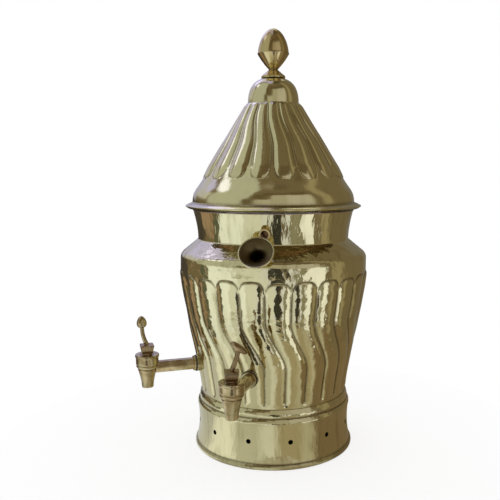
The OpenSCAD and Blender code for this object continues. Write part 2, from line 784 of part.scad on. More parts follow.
module finial() {
    z_ridge = z_top + finial_ridge_z;
    bowl = curve2(
        [finial_neck_r, z_top + finial_neck_z], [finial_ridge_r * 0.7, z_top + finial_ridge_z * 0.65],
        [finial_ridge_r, z_ridge], curve_steps);
    acorn = curve3(
        [finial_ridge_r * 0.97, z_ridge + finial_ridge_t], [finial_ridge_r * 0.9, z_top + finial_h * 0.77],
        [finial_ridge_r * 0.5, z_top + finial_h], [0, z_top + finial_h], curve_steps);
    color(brass) difference() {
        ring_of(concat(
            [[0, z_top], [finial_flange_r, z_top], [finial_flange_r, z_top + finial_flange_t]], bowl, acorn));
        translate([0, 0, z_top - overlap]) cylinder(r = stud_r + fit_gap, h = stud_up + 2 * overlap);
    }
}

module finial_stud() {
    color(brass) translate([0, 0, z_top - stud_down]) cylinder(r = stud_r, h = stud_down + stud_up);
}

module finial_washer() {
    color(brass) translate([0, 0, z_top - wall - washer_t]) difference() {
        cylinder(r = washer_r, h = washer_t);
        translate([0, 0, -overlap]) cylinder(r = stud_r + fit_gap, h = washer_t + 2 * overlap);
    }
}

module finial_nut() {
    color(brass) translate([0, 0, z_top - wall - washer_t - nut_t]) difference() {
        cylinder(d = nut_af / cos(30), h = nut_t, $fn = 6);
        translate([0, 0, -overlap]) cylinder(r = stud_r + fit_gap, h = nut_t + 2 * overlap);
    }
}

// Places of the bracket's four rivets
bracket_l = 2 * (hem_in_r - bracket_gap);
rivet_places = [for (x = [-1, 1], y = [-0.5, 0.5]) [x * (hem_in_r - rivet_in), y * rivet_gap, 0]];
z_bracket = hem_t + bracket_t;

module burner_bracket() {
    color("silver") difference() {
        translate([-bracket_l / 2, -bracket_w / 2, hem_t]) cube([bracket_l, bracket_w, bracket_t]);
        for (p = rivet_places) translate(p) cylinder(r = rivet_r + fit_gap, h = base_h / 2);
        cylinder(r = screw_r + fit_gap, h = base_h / 2);
    }
}

module burner_rivets() {
    head_z = z_bracket + rivet_r * 0.7;
    color("silver") for (p = rivet_places) translate(p)
        ring_of([
            [0, 0], [rivet_r, 0], [rivet_r, z_bracket], [1.6 * rivet_r, z_bracket],
            [rivet_r, head_z], [0, head_z]]);
}

module burner_screw() {
    head_r = 2 * screw_r;
    head_z = hem_t / 2;
    end_z = z_bracket + screw_in;
    color("silver") ring_of([
        [0, head_z], [head_r, head_z], [head_r, hem_t], [screw_r, hem_t], [screw_r, end_z], [0, end_z]]);
}

module burner_fuel_cup() {
    boss_h = screw_in + wall;
    color(brass) translate([0, 0, z_bracket]) difference() {
        ring_of([[0, 0], [fuel_r, 0], [fuel_r, fuel_h], [fuel_r - wall, fuel_h], [fuel_r - wall, wall],
            [3 * screw_r, wall], [2 * screw_r, boss_h], [0, boss_h]]);
        translate([0, 0, -overlap]) cylinder(r = screw_r + fit_gap, h = screw_in + overlap + fit_gap);
    }
}

module burner_cap() {
    z = z_bracket + fuel_h;
    tube_r = wick_r + fit_gap;
    rim_out = fuel_r - wall - seam_gap;
    color(brass) ring_of([
        [tube_r, z - fuel_h / 2], [tube_r + wall, z - fuel_h / 2], [tube_r + wall, z],
        [rim_out - wall, z], [rim_out - wall, z - cap_rim_h], [rim_out, z - cap_rim_h], [rim_out, z],
        [fuel_r + wall, z], [fuel_r + wall, z + wall],
        [tube_r + 2 * wall, z + burner_cap_h], [tube_r, z + burner_cap_h]]);
}

module burner_wick() {
    wick_l = fuel_h + burner_cap_h + wick_up - wick_foot;
    color("ivory") translate([0, 0, z_bracket + wick_foot]) cylinder(r = wick_r, h = wick_l);
}

base_ring();
foot_collar();
body_shell();
shoulder_neck();
jacket_floor();
inner_vessel();
salep_outlet_pipe();
filler_cup();
vent_tube();
salep_tap_boss();
salep_tap_seal();
salep_tap_body();
salep_tap_plug();
salep_tap_lever();
water_tap_boss();
water_tap_seal();
water_tap_body();
water_tap_plug();
water_tap_lever();
lid_ring();
lid_skirt();
lid_cone();
lid_cap();
finial();
finial_stud();
finial_washer();
finial_nut();
burner_bracket();
burner_rivets();
burner_screw();
burner_fuel_cup();
burner_cap();
burner_wick();
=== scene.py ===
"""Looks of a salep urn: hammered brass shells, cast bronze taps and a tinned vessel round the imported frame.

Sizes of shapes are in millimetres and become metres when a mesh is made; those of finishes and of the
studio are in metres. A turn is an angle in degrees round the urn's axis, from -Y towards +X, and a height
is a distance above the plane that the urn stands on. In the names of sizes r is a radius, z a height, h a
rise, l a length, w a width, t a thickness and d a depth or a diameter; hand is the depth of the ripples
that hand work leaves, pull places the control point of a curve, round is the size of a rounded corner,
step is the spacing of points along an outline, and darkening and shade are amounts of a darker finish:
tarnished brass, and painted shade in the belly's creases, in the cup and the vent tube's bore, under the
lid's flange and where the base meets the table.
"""

from __future__ import annotations

import logging
import math
from dataclasses import dataclass, replace
from enum import Enum
from typing import Iterable

import bmesh
import bpy
import numpy as np
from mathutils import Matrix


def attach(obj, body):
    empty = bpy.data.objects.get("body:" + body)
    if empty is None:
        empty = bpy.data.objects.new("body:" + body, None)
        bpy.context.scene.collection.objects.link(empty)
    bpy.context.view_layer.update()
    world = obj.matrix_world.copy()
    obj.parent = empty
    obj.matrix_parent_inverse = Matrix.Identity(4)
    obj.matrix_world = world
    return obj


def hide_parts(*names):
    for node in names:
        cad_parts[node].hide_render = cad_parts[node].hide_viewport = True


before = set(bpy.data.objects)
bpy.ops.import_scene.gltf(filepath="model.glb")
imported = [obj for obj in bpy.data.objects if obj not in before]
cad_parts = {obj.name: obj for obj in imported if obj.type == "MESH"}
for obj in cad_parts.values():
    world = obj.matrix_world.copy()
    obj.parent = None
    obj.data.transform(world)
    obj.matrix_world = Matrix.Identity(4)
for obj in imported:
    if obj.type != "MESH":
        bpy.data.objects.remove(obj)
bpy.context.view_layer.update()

LOG = logging.getLogger("salep_urn")
MM = 0.001
MERGE_DISTANCE = 2e-6
# Mesh mark that darkens a finish: tarnished brass, bare copper, and painted shade in creases, hollows, bores
# and under the lid's flange.
WEAR_AND_SHADE = "wear_and_shade"
Place = tuple | np.ndarray


class Body(str, Enum):
    """The moving bodies of the urn."""

    URN = "urn"
    LID = "lid"
    SALEP_PLUG = "salep_plug"
    WATER_PLUG = "water_plug"


class Slot(str, Enum):
    """The record's material slots."""

    BRASS = "polished_brass"
    YELLOW_BRASS = "yellow_brass"
    BRONZE = "cast_bronze"
    TIN = "tinned_copper"
    STEEL = "plain_steel"
    RUBBER = "seal_rubber"
    COTTON = "cotton_wick"


# Shader maths


class Wire:
    """A node's output socket that takes part in arithmetic."""

    def __init__(self, board: Board, socket: bpy.types.NodeSocket) -> None:
        """Keep the socket and the board that its node is on."""
        self.board = board
        self.socket = socket

    def math(self, operation: str, *values: Wire | float) -> Wire:
        """Math node of one operation on the given values."""
        return self.board.node("ShaderNodeMath", {"operation": operation}, dict(enumerate(values)))

    def __add__(self, other: Wire | float) -> Wire:
        """Sum."""
        return self.math("ADD", self, other)

    def __sub__(self, other: Wire | float) -> Wire:
        """Difference."""
        return self.math("SUBTRACT", self, other)

    def __rsub__(self, other: Wire | float) -> Wire:
        """Difference with the wire on the right."""
        return self.math("SUBTRACT", other, self)

    def __mul__(self, other: Wire | float) -> Wire:
        """Product."""
        return self.math("MULTIPLY", self, other)

    def __truediv__(self, other: Wire | float) -> Wire:
        """Quotient."""
        return self.math("DIVIDE", self, other)

    def __pow__(self, other: Wire | float) -> Wire:
        """Power."""
        return self.math("POWER", self, other)

    __radd__ = __add__
    __rmul__ = __mul__

    def ease(self, start: float, end: float) -> Wire:
        """Smooth step from 0 at start to 1 at end."""
        settings = {"interpolation_type": "SMOOTHSTEP"}
        return self.board.node("ShaderNodeMapRange", settings, {"Value": self, 1: start, 2: end})

    def clamp(self) -> Wire:
        """The value kept between 0 and 1."""
        return self.board.node("ShaderNodeClamp", {}, {"Value": self})


class Board:
    """A node tree that is written as expressions."""

    def __init__(self, tree: bpy.types.NodeTree) -> None:
        """Start the tree afresh."""
        self.tree = tree
        self.tree.nodes.clear()

    def node(
        self, kind: str, settings: dict | None = None, inputs: dict | None = None, output: int | str = 0
    ) -> Wire:
        """Add a node, set it up and join its inputs.

        Args:
            kind: The node's type.
            settings: Attributes that are set first.
            inputs: A value or a wire for each named or numbered input.
            output: The output to hand back.

        Returns:
            The chosen output.
        """
        made = self.tree.nodes.new(kind)
        for key, value in (settings or {}).items():
            setattr(made, key, value)
        for key, value in (inputs or {}).items():
            if isinstance(value, Wire):
                self.tree.links.new(value.socket, made.inputs[key])
            else:
                made.inputs[key].default_value = value
        return Wire(self, made.outputs[output] if len(made.outputs) else None)

    def mix(self, share: Wire | float, first: Wire | tuple, second: Wire | tuple) -> Wire:
        """Blend two colours by a share of the second."""
        values = {0: share, 6: rgba(first), 7: rgba(second)}
        return self.node("ShaderNodeMix", {"data_type": "RGBA"}, values, 2)

    def place(self) -> Wire:
        """Object coordinates."""
        return self.node("ShaderNodeTexCoord", output="Object")

    def stretched(self, stretch: tuple) -> Wire:
        """Object coordinates times a factor for each axis."""
        return self.node("ShaderNodeMapping", {}, {"Vector": self.place(), "Scale": stretch})

    def parts(self, vector: Wire) -> list[Wire]:
        """X, Y and Z of a vector."""
        return [self.node("ShaderNodeSeparateXYZ", {}, {"Vector": vector}, axis) for axis in "XYZ"]

    def ray(self, kind: str) -> Wire:
        """1 for the rays of a kind, 0 for any other."""
        return self.node("ShaderNodeLightPath", output=kind)

    def noise(self, size: float, detail: float, stretch: tuple = (1.0, 1.0, 1.0)) -> Wire:
        """Noise with features about one size, in metres, across on stretched coordinates."""
        values = {"Vector": self.stretched(stretch), "Scale": 1.0 / size, "Detail": detail}
        return self.node("ShaderNodeTexNoise", {}, values)

    def cells(self, size: float, stretch: float) -> Wire:
        """Hammer marks: the square of the distance to the nearest seed point, so each is a shallow dish.

        Args:
            size: Width of a mark, in metres.
            stretch: How many times taller than wide a mark is.

        Returns:
            The height of the dish, 0 in its middle.
        """
        place = self.stretched((1.0, 1.0, 1.0 / stretch))
        values = {"Vector": place, "Scale": 1.0 / size, "Smoothness": 0.25}
        return self.node("ShaderNodeTexVoronoi", {"feature": "SMOOTH_F1"}, values) ** 2.0

    def attribute(self, name: str) -> Wire:
        """A number stored on the mesh's points."""
        return self.node("ShaderNodeAttribute", {"attribute_name": name}, output="Fac")

    def bump(self, height: Wire, depth: float, normal: Wire | None = None) -> Wire:
        """Bump of a height that goes from 0 to 1 over a depth in metres.

        Args:
            height: The height.
            depth: Depth of the marks.
            normal: A bump that this one lies on.

        Returns:
            The bumped normal.
        """
        values = {"Height": height, "Distance": depth, "Strength": 1.0}
        if normal is not None:
            values["Normal"] = normal
        return self.node("ShaderNodeBump", {}, values)


def rgba(value: Wire | tuple) -> Wire | tuple:
    """Colour with an alpha of 1 added where it is three numbers."""
    return value if isinstance(value, Wire) else (*value, 1.0)


class Finish:
    """A surface finish that makes one material."""

    name: str

    def paint(self, board: Board) -> dict:
        """Values and wires for the surface shader, by socket name."""
        raise NotImplementedError

    def material(self) -> bpy.types.Material:
        """The finish as a material, made once.

        Returns:
            The material.
        """
        found = bpy.data.materials.get(self.name)
        if found is not None:
            return found
        material = bpy.data.materials.new(self.name)
        material.use_nodes = True
        board = Board(material.node_tree)
        shader = board.node("ShaderNodeBsdfPrincipled", {}, self.paint(board))
        board.node("ShaderNodeOutputMaterial", {}, {"Surface": shader})
        return material


@dataclass(frozen=True)
class Pattern:
    """Noise that shows between two of its levels.

    Attributes:
        size: Width of a feature, in metres.
        detail: Number of finer layers.
        low: Level at which it starts to show.
        high: Level from which it shows in full.
        share: How much it shows there.
        stretch: Factors on the coordinates.
    """

    size: float
    detail: float
    low: float = 0.0
    high: float = 1.0
    share: float = 1.0
    stretch: tuple = (1.0, 1.0, 1.0)

    def noise(self, board: Board) -> Wire:
        """The noise itself."""
        return board.noise(self.size, self.detail, self.stretch)

    def shown(self, board: Board) -> Wire:
        """How much it shows: a smooth step between the levels, times the share."""
        return self.noise(board).ease(self.low, self.high) * self.share


@dataclass(frozen=True)
class Brass(Finish):
    """Polished brass, planished with a hammer, with clouds in its polish and a dark share of tarnished brass
    and painted shade.

    The hammer's marks are shallow dishes with a ridge round each, over a slow wave and under a fine grain.
    The dark share is the mesh's mark, which holds tarnished brass and painted shade in creases, hollows and
    undersides, plus the darkest parts of a cloudy noise; it darkens the metal and roughens it. Upright
    streaks of old polish turn the colour to olive.
    """

    name: str
    bright: tuple = (0.82, 0.74, 0.44)
    tarnish_and_shade_colour: tuple = (0.15, 0.11, 0.05)
    olive: tuple = (0.46, 0.41, 0.20)
    shade: float = 0.92
    roughness: float = 0.07
    speck_roughness: float = 0.05
    tarnish_roughness: float = 0.3
    dent_size: float = 0.008
    dent_depth: float = 0.0003
    dent_stretch: float = 1.0
    wave_size: float = 0.024
    wave_depth: float = 0.0011
    grain_size: float = 0.0035
    grain_depth: float = 0.0002
    cloud: float = 0.35
    streak: float = 0.25
    wear_and_shade_share: float = 0.55
    wear_and_shade_specks: float = 0.6
    clouds: Pattern = Pattern(0.05, 5.0, 0.52, 0.75, 0.45)
    specks: Pattern = Pattern(0.004, 2.0, 0.35, 0.7)
    shades: Pattern = Pattern(0.09, 2.0, 0.35, 0.65)
    streaks: Pattern = Pattern(0.009, 5.0, 0.48, 0.72, stretch=(1.0, 1.0, 0.16))

    def paint(self, board: Board) -> dict:
        """Brass colour, polish and hammer marks.

        Args:
            board: The material's board.

        Returns:
            Values and wires by socket name.
        """
        specks = self.specks.noise(board)
        stain = self.clouds.shown(board) * self.specks.shown(board) * self.cloud
        tarnish_and_shade_share = (board.attribute(WEAR_AND_SHADE) * (self.wear_and_shade_share + self.wear_and_shade_specks * specks) + stain).clamp()
        shade = tuple(self.shade * part for part in self.bright)
        tone = board.mix(self.shades.shown(board), self.bright, shade)
        tone = board.mix(self.streaks.shown(board) * self.streak, tone, self.olive)
        wave = board.bump(board.noise(self.wave_size, 1.0), self.wave_depth)
        dents = board.bump(board.cells(self.dent_size, self.dent_stretch), self.dent_depth, wave)
        grain = board.noise(self.grain_size, 1.0, (1.0, 1.0, 1.0 / self.dent_stretch))
        return {
            "Base Color": board.mix(tarnish_and_shade_share, tone, self.tarnish_and_shade_colour),
            "Metallic": 1.0,
            "Roughness": self.roughness + self.speck_roughness * specks + self.tarnish_roughness * tarnish_and_shade_share,
            "Normal": board.bump(grain, self.grain_depth, dents),
        }


@dataclass(frozen=True)
class Skin(Finish):
    """A plain skin: a colour, perhaps with a tint in it, a stain over both, and a relief.

    The stain is a pattern plus a share of the mesh's darkening mark, which is darker in grooves and bare
    copper on the vessel's outside. The roughness is a base plus each pattern's noise times its gain.

    Attributes:
        name: The material's name.
        colour: Its colour.
        stain: Colour of the stain.
        stains: Where the stain shows.
        roughness: The base of the roughness.
        rough: Gains and their patterns.
        relief: The pattern that stands out.
        depth: How far it stands out, in metres.
        tint: Colour of the tint.
        tints: Where the tint shows, if there is one.
        wear_and_shade_share: How much of the mesh's darkening mark is stained.
        metal: 1 for a metal, 0 for anything else.
    """

    name: str
    colour: tuple
    stain: tuple
    stains: Pattern
    roughness: float
    rough: tuple
    relief: Pattern
    depth: float
    tint: tuple = ()
    tints: Pattern | None = None
    wear_and_shade_share: float = 0.0
    metal: float = 1.0

    def paint(self, board: Board) -> dict:
        """Colours, polish and relief of the skin.

        Args:
            board: The material's board.

        Returns:
            Values and wires by socket name.
        """
        tone = self.colour
        if self.tints:
            tone = board.mix(self.tints.shown(board), self.colour, self.tint)
        stained = (self.stains.shown(board) + board.attribute(WEAR_AND_SHADE) * self.wear_and_shade_share).clamp()
        return {
            "Base Color": board.mix(stained, tone, self.stain),
            "Metallic": self.metal,
            "Roughness": sum((gain * pattern.noise(board) for gain, pattern in self.rough), self.roughness),
            "Normal": board.bump(self.relief.noise(board), self.depth),
        }


@dataclass(frozen=True)
class Cotton(Finish):
    """Braided cotton with a charred tip: two crossing sets of waves round the wick make the braid."""

    name: str
    pale: tuple = (0.78, 0.73, 0.62)
    char: tuple = (0.03, 0.026, 0.022)
    shade: float = 0.6
    shade_share: float = 0.35
    roughness: float = 0.9
    tip: float = 0.0425
    tip_fade: float = 0.003
    ragged: float = 0.004
    rags: Pattern = Pattern(0.003, 3.0)
    wave_scale: float = 0.3 / 0.0022
    braid_depth: float = 0.0004

    def waves(self, board: Board, side: float) -> Wire:
        """Diagonal waves that lean to one side.

        Args:
            board: The material's board.
            side: 1 for one side, -1 for the other.

        Returns:
            The waves, from 0 to 1.
        """
        settings = {"wave_type": "BANDS", "bands_direction": "DIAGONAL"}
        values = {"Vector": board.stretched((side, 1.0, 1.0)), "Scale": self.wave_scale}
        return board.node("ShaderNodeTexWave", settings, values)

    def paint(self, board: Board) -> dict:
        """Cotton colour, braid and the burnt end.

        Args:
            board: The material's board.

        Returns:
            Values and wires by socket name.
        """
        braid = (self.waves(board, 1.0) + self.waves(board, -1.0)) * 0.5
        height = board.parts(board.place())[2] + self.ragged * self.rags.noise(board)
        burnt = height.ease(self.tip - self.tip_fade, self.tip + self.tip_fade)
        woven = board.mix(braid * self.shade_share, self.pale, tuple(self.shade * part for part in self.pale))
        return {
            "Base Color": board.mix(burnt, woven, self.char),
            "Roughness": self.roughness,
            "Normal": board.bump(braid, self.braid_depth),
        }


HAMMERED_BRASS = Brass("hammered_brass", grain_depth=0.00012)
PLANISHED_BRASS = Brass(
    "planished_brass", dent_stretch=3.0, wave_depth=0.0006, grain_depth=0.00016, streak=0.55
)
SPUN_BRASS = Brass(
    "spun_brass", dent_depth=0.00006, wave_depth=0.00035, wave_size=0.03, grain_depth=0.00003, streak=0.15
)
SMOOTH = {"dent_depth": 0.00002, "wave_depth": 0.0001, "grain_depth": 0.00001}
TURNED_BRASS = Brass("turned_brass", bright=(0.66, 0.52, 0.25), roughness=0.14, cloud=0.6, **SMOOTH)
YELLOW_BRASS = Brass("drawn_yellow_brass", bright=(0.48, 0.40, 0.21), roughness=0.2, cloud=0.7, **SMOOTH)
BRONZE_PATCHES = Pattern(0.012, 4.0, 0.36, 0.64, 0.7)
BRONZE_GRAIN = Pattern(0.0012, 2.0)
BRONZE = Skin(
    "cast_bronze_skin",
    colour=(0.60, 0.48, 0.26),
    tint=(0.45, 0.42, 0.24),
    tints=Pattern(0.02, 3.0, 0.45, 0.62, 0.7),
    stain=(0.28, 0.18, 0.07),
    stains=BRONZE_PATCHES,
    wear_and_shade_share=0.6,
    roughness=0.13,
    rough=((0.14, BRONZE_PATCHES), (0.04, BRONZE_GRAIN)),
    relief=BRONZE_GRAIN,
    depth=0.00012,
)
DULL_BRONZE = replace(
    BRONZE,
    name="dull_bronze_skin",
    colour=(0.46, 0.33, 0.18),
    tint=(0.36, 0.30, 0.17),
    stain=(0.24, 0.15, 0.07),
    roughness=0.2,
)
TIN_STREAKS = Pattern(0.02, 4.0, 0.35, 0.65, stretch=(1.0, 1.0, 0.25))
TIN = Skin(
    "wiped_tin",
    colour=(0.72, 0.72, 0.70),
    tint=(0.50, 0.49, 0.46),
    tints=TIN_STREAKS,
    stain=(0.60, 0.36, 0.24),
    stains=Pattern(0.03, 6.0, 0.62, 0.75, 0.5),
    wear_and_shade_share=1.0,
    roughness=0.24,
    rough=((0.2, TIN_STREAKS),),
    relief=TIN_STREAKS,
    depth=0.0002,
)
STEEL_SCRATCHES = Pattern(0.0015, 3.0, stretch=(0.08, 1.0, 1.0))
STEEL = Skin(
    "drawn_steel",
    colour=(0.46, 0.46, 0.47),
    stain=(0.30, 0.23, 0.17),
    stains=Pattern(0.02, 3.0, 0.5, 0.72, 0.7),
    roughness=0.3,
    rough=((0.2, STEEL_SCRATCHES),),
    relief=STEEL_SCRATCHES,
    depth=0.00005,
)
RUBBER_BLOOM = Pattern(0.004, 4.0, 0.4, 0.7)
RUBBER = Skin(
    "dusty_rubber",
    colour=(0.030, 0.027, 0.024),
    stain=(0.075, 0.068, 0.060),
    stains=RUBBER_BLOOM,
    roughness=0.6,
    rough=((0.2, RUBBER_BLOOM),),
    relief=Pattern(0.0006, 1.0),
    depth=0.00005,
    metal=0.0,
)
COTTON = Cotton("braided_cotton")


# Shapes as grids of points


def ease(start: float, end: float, value: np.ndarray) -> np.ndarray:
    """Smooth step 3t^2 - 2t^3, where t goes from 0 at start to 1 at end."""
    share = np.clip((value - start) / (end - start), 0.0, 1.0)
    return share * share * (3.0 - 2.0 * share)


def polar(radius: np.ndarray, turn: np.ndarray, height: np.ndarray) -> np.ndarray:
    """Points x = r sin(turn), y = -r cos(turn), z = height."""
    angle = np.radians(turn)
    return np.stack(np.broadcast_arrays(radius * np.sin(angle), -radius * np.cos(angle), height), axis=-1)


def bezier(corners: Iterable[tuple], count: int) -> np.ndarray:
    """Curve through the first and last corner, each corner weighted by its Bernstein polynomial.

    Args:
        corners: Three or four points in a plane.
        count: Number of points on the curve.

    Returns:
        The points, one per row.
    """
    corners = np.asarray(list(corners), float)
    order = len(corners) - 1
    share = np.linspace(0.0, 1.0, count)[:, None]
    power = np.arange(order + 1)
    choose = np.array([math.comb(order, k) for k in power])
    return (choose * share**power * (1.0 - share) ** (order - power)) @ corners


def soften(outline: np.ndarray, radius: float, closed: bool = True, steps: int = 4) -> np.ndarray:
    """Outline with each corner replaced by a small arc.

    An arc is the quadratic curve that starts and ends at most one radius from the corner, and no
    further than half of the side, with the corner as its control point.

    Args:
        outline: Corners, one per row.
        radius: Distance from the corner at which an arc starts.
        closed: Whether the last corner joins the first.
        steps: Number of pieces in an arc.

    Returns:
        The points of the arcs in order, with open ends kept.
    """
    before = np.roll(outline, 1, axis=0) - outline
    after = np.roll(outline, -1, axis=0) - outline
    reach_before = np.maximum(np.linalg.norm(before, axis=1, keepdims=True), 1e-9)
    reach_after = np.maximum(np.linalg.norm(after, axis=1, keepdims=True), 1e-9)
    start = outline + before * np.minimum(0.5, radius / reach_before)
    end = outline + after * np.minimum(0.5, radius / reach_after)
    share = np.linspace(0.0, 1.0, steps + 1)[None, :, None]
    rest = 1.0 - share
    arcs = start[:, None] * rest**2 + outline[:, None] * 2 * share * rest + end[:, None] * share**2
    if closed:
        return arcs.reshape(-1, outline.shape[1])
    return np.vstack([outline[:1], arcs[1:-1].reshape(-1, outline.shape[1]), outline[-1:]])


def divide(outline: np.ndarray, step: float, closed: bool = True) -> np.ndarray:
    """Outline with points added so that no side is longer than a step.

    Args:
        outline: Corners, one per row.
        step: The longest side.
        closed: Whether the last corner joins the first.

    Returns:
        The corners and the added points in order.
    """
    ends = np.roll(outline, -1, axis=0) if closed else outline[1:]
    starts = outline if closed else outline[:-1]
    counts = np.maximum(1, np.ceil(np.linalg.norm(ends - starts, axis=1) / step)).astype(int)
    side = np.repeat(np.arange(len(starts)), counts)
    place = np.arange(counts.sum()) - np.repeat(np.cumsum(counts) - counts, counts)
    share = (place / counts[side])[:, None]
    points = starts[side] * (1.0 - share) + ends[side] * share
    return points if closed else np.vstack([points, outline[-1:]])


def inset(outline: np.ndarray, thickness: float) -> np.ndarray:
    """Open outline moved to its left by a thickness, along the bisector at each point.

    Args:
        outline: Points, one per row.
        thickness: Distance to each of the moved sides.

    Returns:
        The moved points.
    """
    sides = np.diff(outline, axis=0)
    left = np.stack([-sides[:, 1], sides[:, 0]], axis=1)
    left = left / np.linalg.norm(left, axis=1, keepdims=True)
    before = np.vstack([left[:1], left])
    after = np.vstack([left, left[-1:]])
    middle = before + after
    middle = middle / np.linalg.norm(middle, axis=1, keepdims=True)
    return outline + middle * thickness / np.sum(middle * before, axis=1, keepdims=True)


def sheet(outline: np.ndarray, thickness: float) -> np.ndarray:
    """Closed outline of a sheet that has the given face and lies to its left."""
    return np.vstack([outline, inset(outline, thickness)[::-1]])


def join(*parts: Iterable) -> np.ndarray:
    """Outline parts, each a list of points, in one array."""
    return np.vstack([np.asarray(part, float).reshape(-1, 2) for part in parts])


def ripple(points: np.ndarray, depth: float) -> np.ndarray:
    """Points moved in and out along the radius, as hand work leaves a sheet.

    The move is the depth times the mean of three sines of mixed turns and heights.

    Args:
        points: Points in millimetres in the last axis.
        depth: The largest move.

    Returns:
        The moved points.
    """
    turn = np.arctan2(points[..., 0], -points[..., 1])
    height = points[..., 2]
    first = np.sin(7 * turn + height * 0.061 + 1.7 * np.sin(3 * turn))
    second = np.sin(13 * turn - height * 0.094 + 2.1)
    third = np.sin(5 * turn + height * 0.147 + 0.6 * np.sin(11 * turn))
    reach = np.maximum(np.hypot(points[..., 0], points[..., 1]), 1.0)
    push = 1.0 + depth * (first + second + third) / 3.0 / reach
    return np.concatenate([points[..., :2] * push[..., None], points[..., 2:]], axis=-1)


def bell(value: np.ndarray, middle: float | np.ndarray, width: float) -> np.ndarray:
    """Bell curve exp(-t^2), where t is the distance from the middle over the width."""
    return np.exp(-(((value - middle) / width) ** 2))


def arch(bulge: np.ndarray, s: np.ndarray) -> np.ndarray:
    """Rounded end of a lobe: the root of s - 1 plus the root of the bulge, kept between 0 and 1."""
    return np.sqrt(np.clip(s - 1.0 + np.sqrt(bulge), 0.0, 1.0))


def level(turn: float) -> np.ndarray:
    """Level direction at a turn."""
    return polar(1.0, turn, 0.0)


def levels(start: float, bands: Iterable[tuple[float, int]]) -> np.ndarray:
    """Heights of rows that stand in bands, evenly in each.

    Args:
        start: Lower end of the first band.
        bands: Upper end of each band and its number of rows, both ends counted.

    Returns:
        The heights along the first of three axes.
    """
    heights = np.array([start])
    for end, count in bands:
        heights = np.append(heights, np.linspace(heights[-1], end, count)[1:])
    return heights[:, None, None]


def fan(share: np.ndarray, errors: np.ndarray) -> np.ndarray:
    """Turns at shares across each lobe of a ring whose edges are out of place by errors, in degrees."""
    edge = np.arange(len(errors) + 1) * 360.0 / len(errors) + np.append(errors, errors[0])
    return (edge[:-1, None] + np.diff(edge)[:, None] * share[0])[None]


def spin(points: np.ndarray, turn: float) -> np.ndarray:
    """Points turned round Z."""
    side, ahead = math.sin(math.radians(turn)), math.cos(math.radians(turn))
    return points @ np.array([[ahead, side, 0.0], [-side, ahead, 0.0], [0.0, 0.0, 1.0]])


@dataclass
class Grid:
    """Points in rows and columns whose quads face outwards where rows go up and columns turn.

    Attributes:
        points: Rows by columns by three, in millimetres.
        wrap_rows: Whether the last row joins the first.
        wrap_cols: Whether the last column joins the first.
        wear_and_shade: One number per point, for the finish.
        keep: One choice per quad, or None to keep all.
    """

    points: np.ndarray
    wrap_rows: bool = False
    wrap_cols: bool = True
    # Darkening of each point: tarnished brass, bare copper and painted shade.
    wear_and_shade: np.ndarray | None = None
    keep: np.ndarray | None = None

    def moved(self, points: np.ndarray) -> Grid:
        """The same grid on other points."""
        return replace(self, points=points)

    def rippled(self, depth: float) -> Grid:
        """The grid as hand work leaves a sheet."""
        return self.moved(ripple(self.points, depth))

    def stood(self, origin: Place, axis: Place) -> Grid:
        """The grid turned so that its Z lies along a leaning axis, then moved to an origin.

        Args:
            origin: Where the grid's own origin goes.
            axis: A direction that is not upright.

        Returns:
            The moved grid.
        """
        up = np.asarray(axis, float) / np.linalg.norm(axis)
        side = np.cross((0.0, 0.0, 1.0), up)
        side = side / np.linalg.norm(side)
        return self.moved(self.points @ np.stack([side, np.cross(up, side), up]) + np.asarray(origin, float))

    def quads(self) -> np.ndarray:
        """Corner numbers of the quads.

        Returns:
            Four point numbers per row.
        """
        rows, cols = self.points.shape[:2]
        index = np.arange(rows * cols).reshape(rows, cols)
        if self.wrap_rows:
            index = np.vstack([index, index[:1]])
        if self.wrap_cols:
            index = np.hstack([index, index[:, :1]])
        quads = np.stack([index[:-1, :-1], index[:-1, 1:], index[1:, 1:], index[1:, :-1]], axis=-1)
        return quads.reshape(-1, 4) if self.keep is None else quads[self.keep]

    def marks(self) -> np.ndarray:
        """The darkening mark of each point in one row: tarnished brass, bare copper and painted shade.

        Returns:
            One number for each point.
        """
        if self.wear_and_shade is None:
            return np.zeros(self.points.shape[0] * self.points.shape[1])
        return np.broadcast_to(self.wear_and_shade, self.points.shape[:2]).reshape(-1)

    def outward(self) -> Grid:
        """The grid with its columns reversed if its closed surface is inside out.

        Returns:
            The grid, its faces outward.
        """
        points = self.points.reshape(-1, 3)
        corners = points[self.quads()] - points.mean(axis=0)
        first = np.cross(corners[:, 1], corners[:, 2])
        second = np.cross(corners[:, 2], corners[:, 3])
        inside_out = np.einsum("ij,ij->", corners[:, 0], first + second) < 0.0
        return self.moved(self.points[:, ::-1]) if inside_out else self


@dataclass(frozen=True)
class Hole:
    """A round hole bored along a line through both walls of a turned shell.

    Attributes:
        origin: A point on the line.
        direction: The line's direction.
        radius: The hole's radius.
        turn: Turn of the hole's middle.
        half_turn: Half the width of the window round the hole, in degrees.
        outer: Lower and upper end of the window on the outer wall, as radius and height.
        inner: Upper and lower end of the window on the inner wall, as radius and height.
    """

    origin: Place
    direction: Place
    radius: float
    turn: float
    half_turn: float
    outer: tuple
    inner: tuple

    def reach(self, points: np.ndarray) -> np.ndarray:
        """Distance of points from the hole's line.

        Args:
            points: Points in the last axis.

        Returns:
            One distance for each point.
        """
        way = np.asarray(self.direction, float) / np.linalg.norm(self.direction)
        offset = points - np.asarray(self.origin, float)
        along = np.sum(offset * way, axis=-1, keepdims=True)
        return np.linalg.norm(offset - along * way, axis=-1)


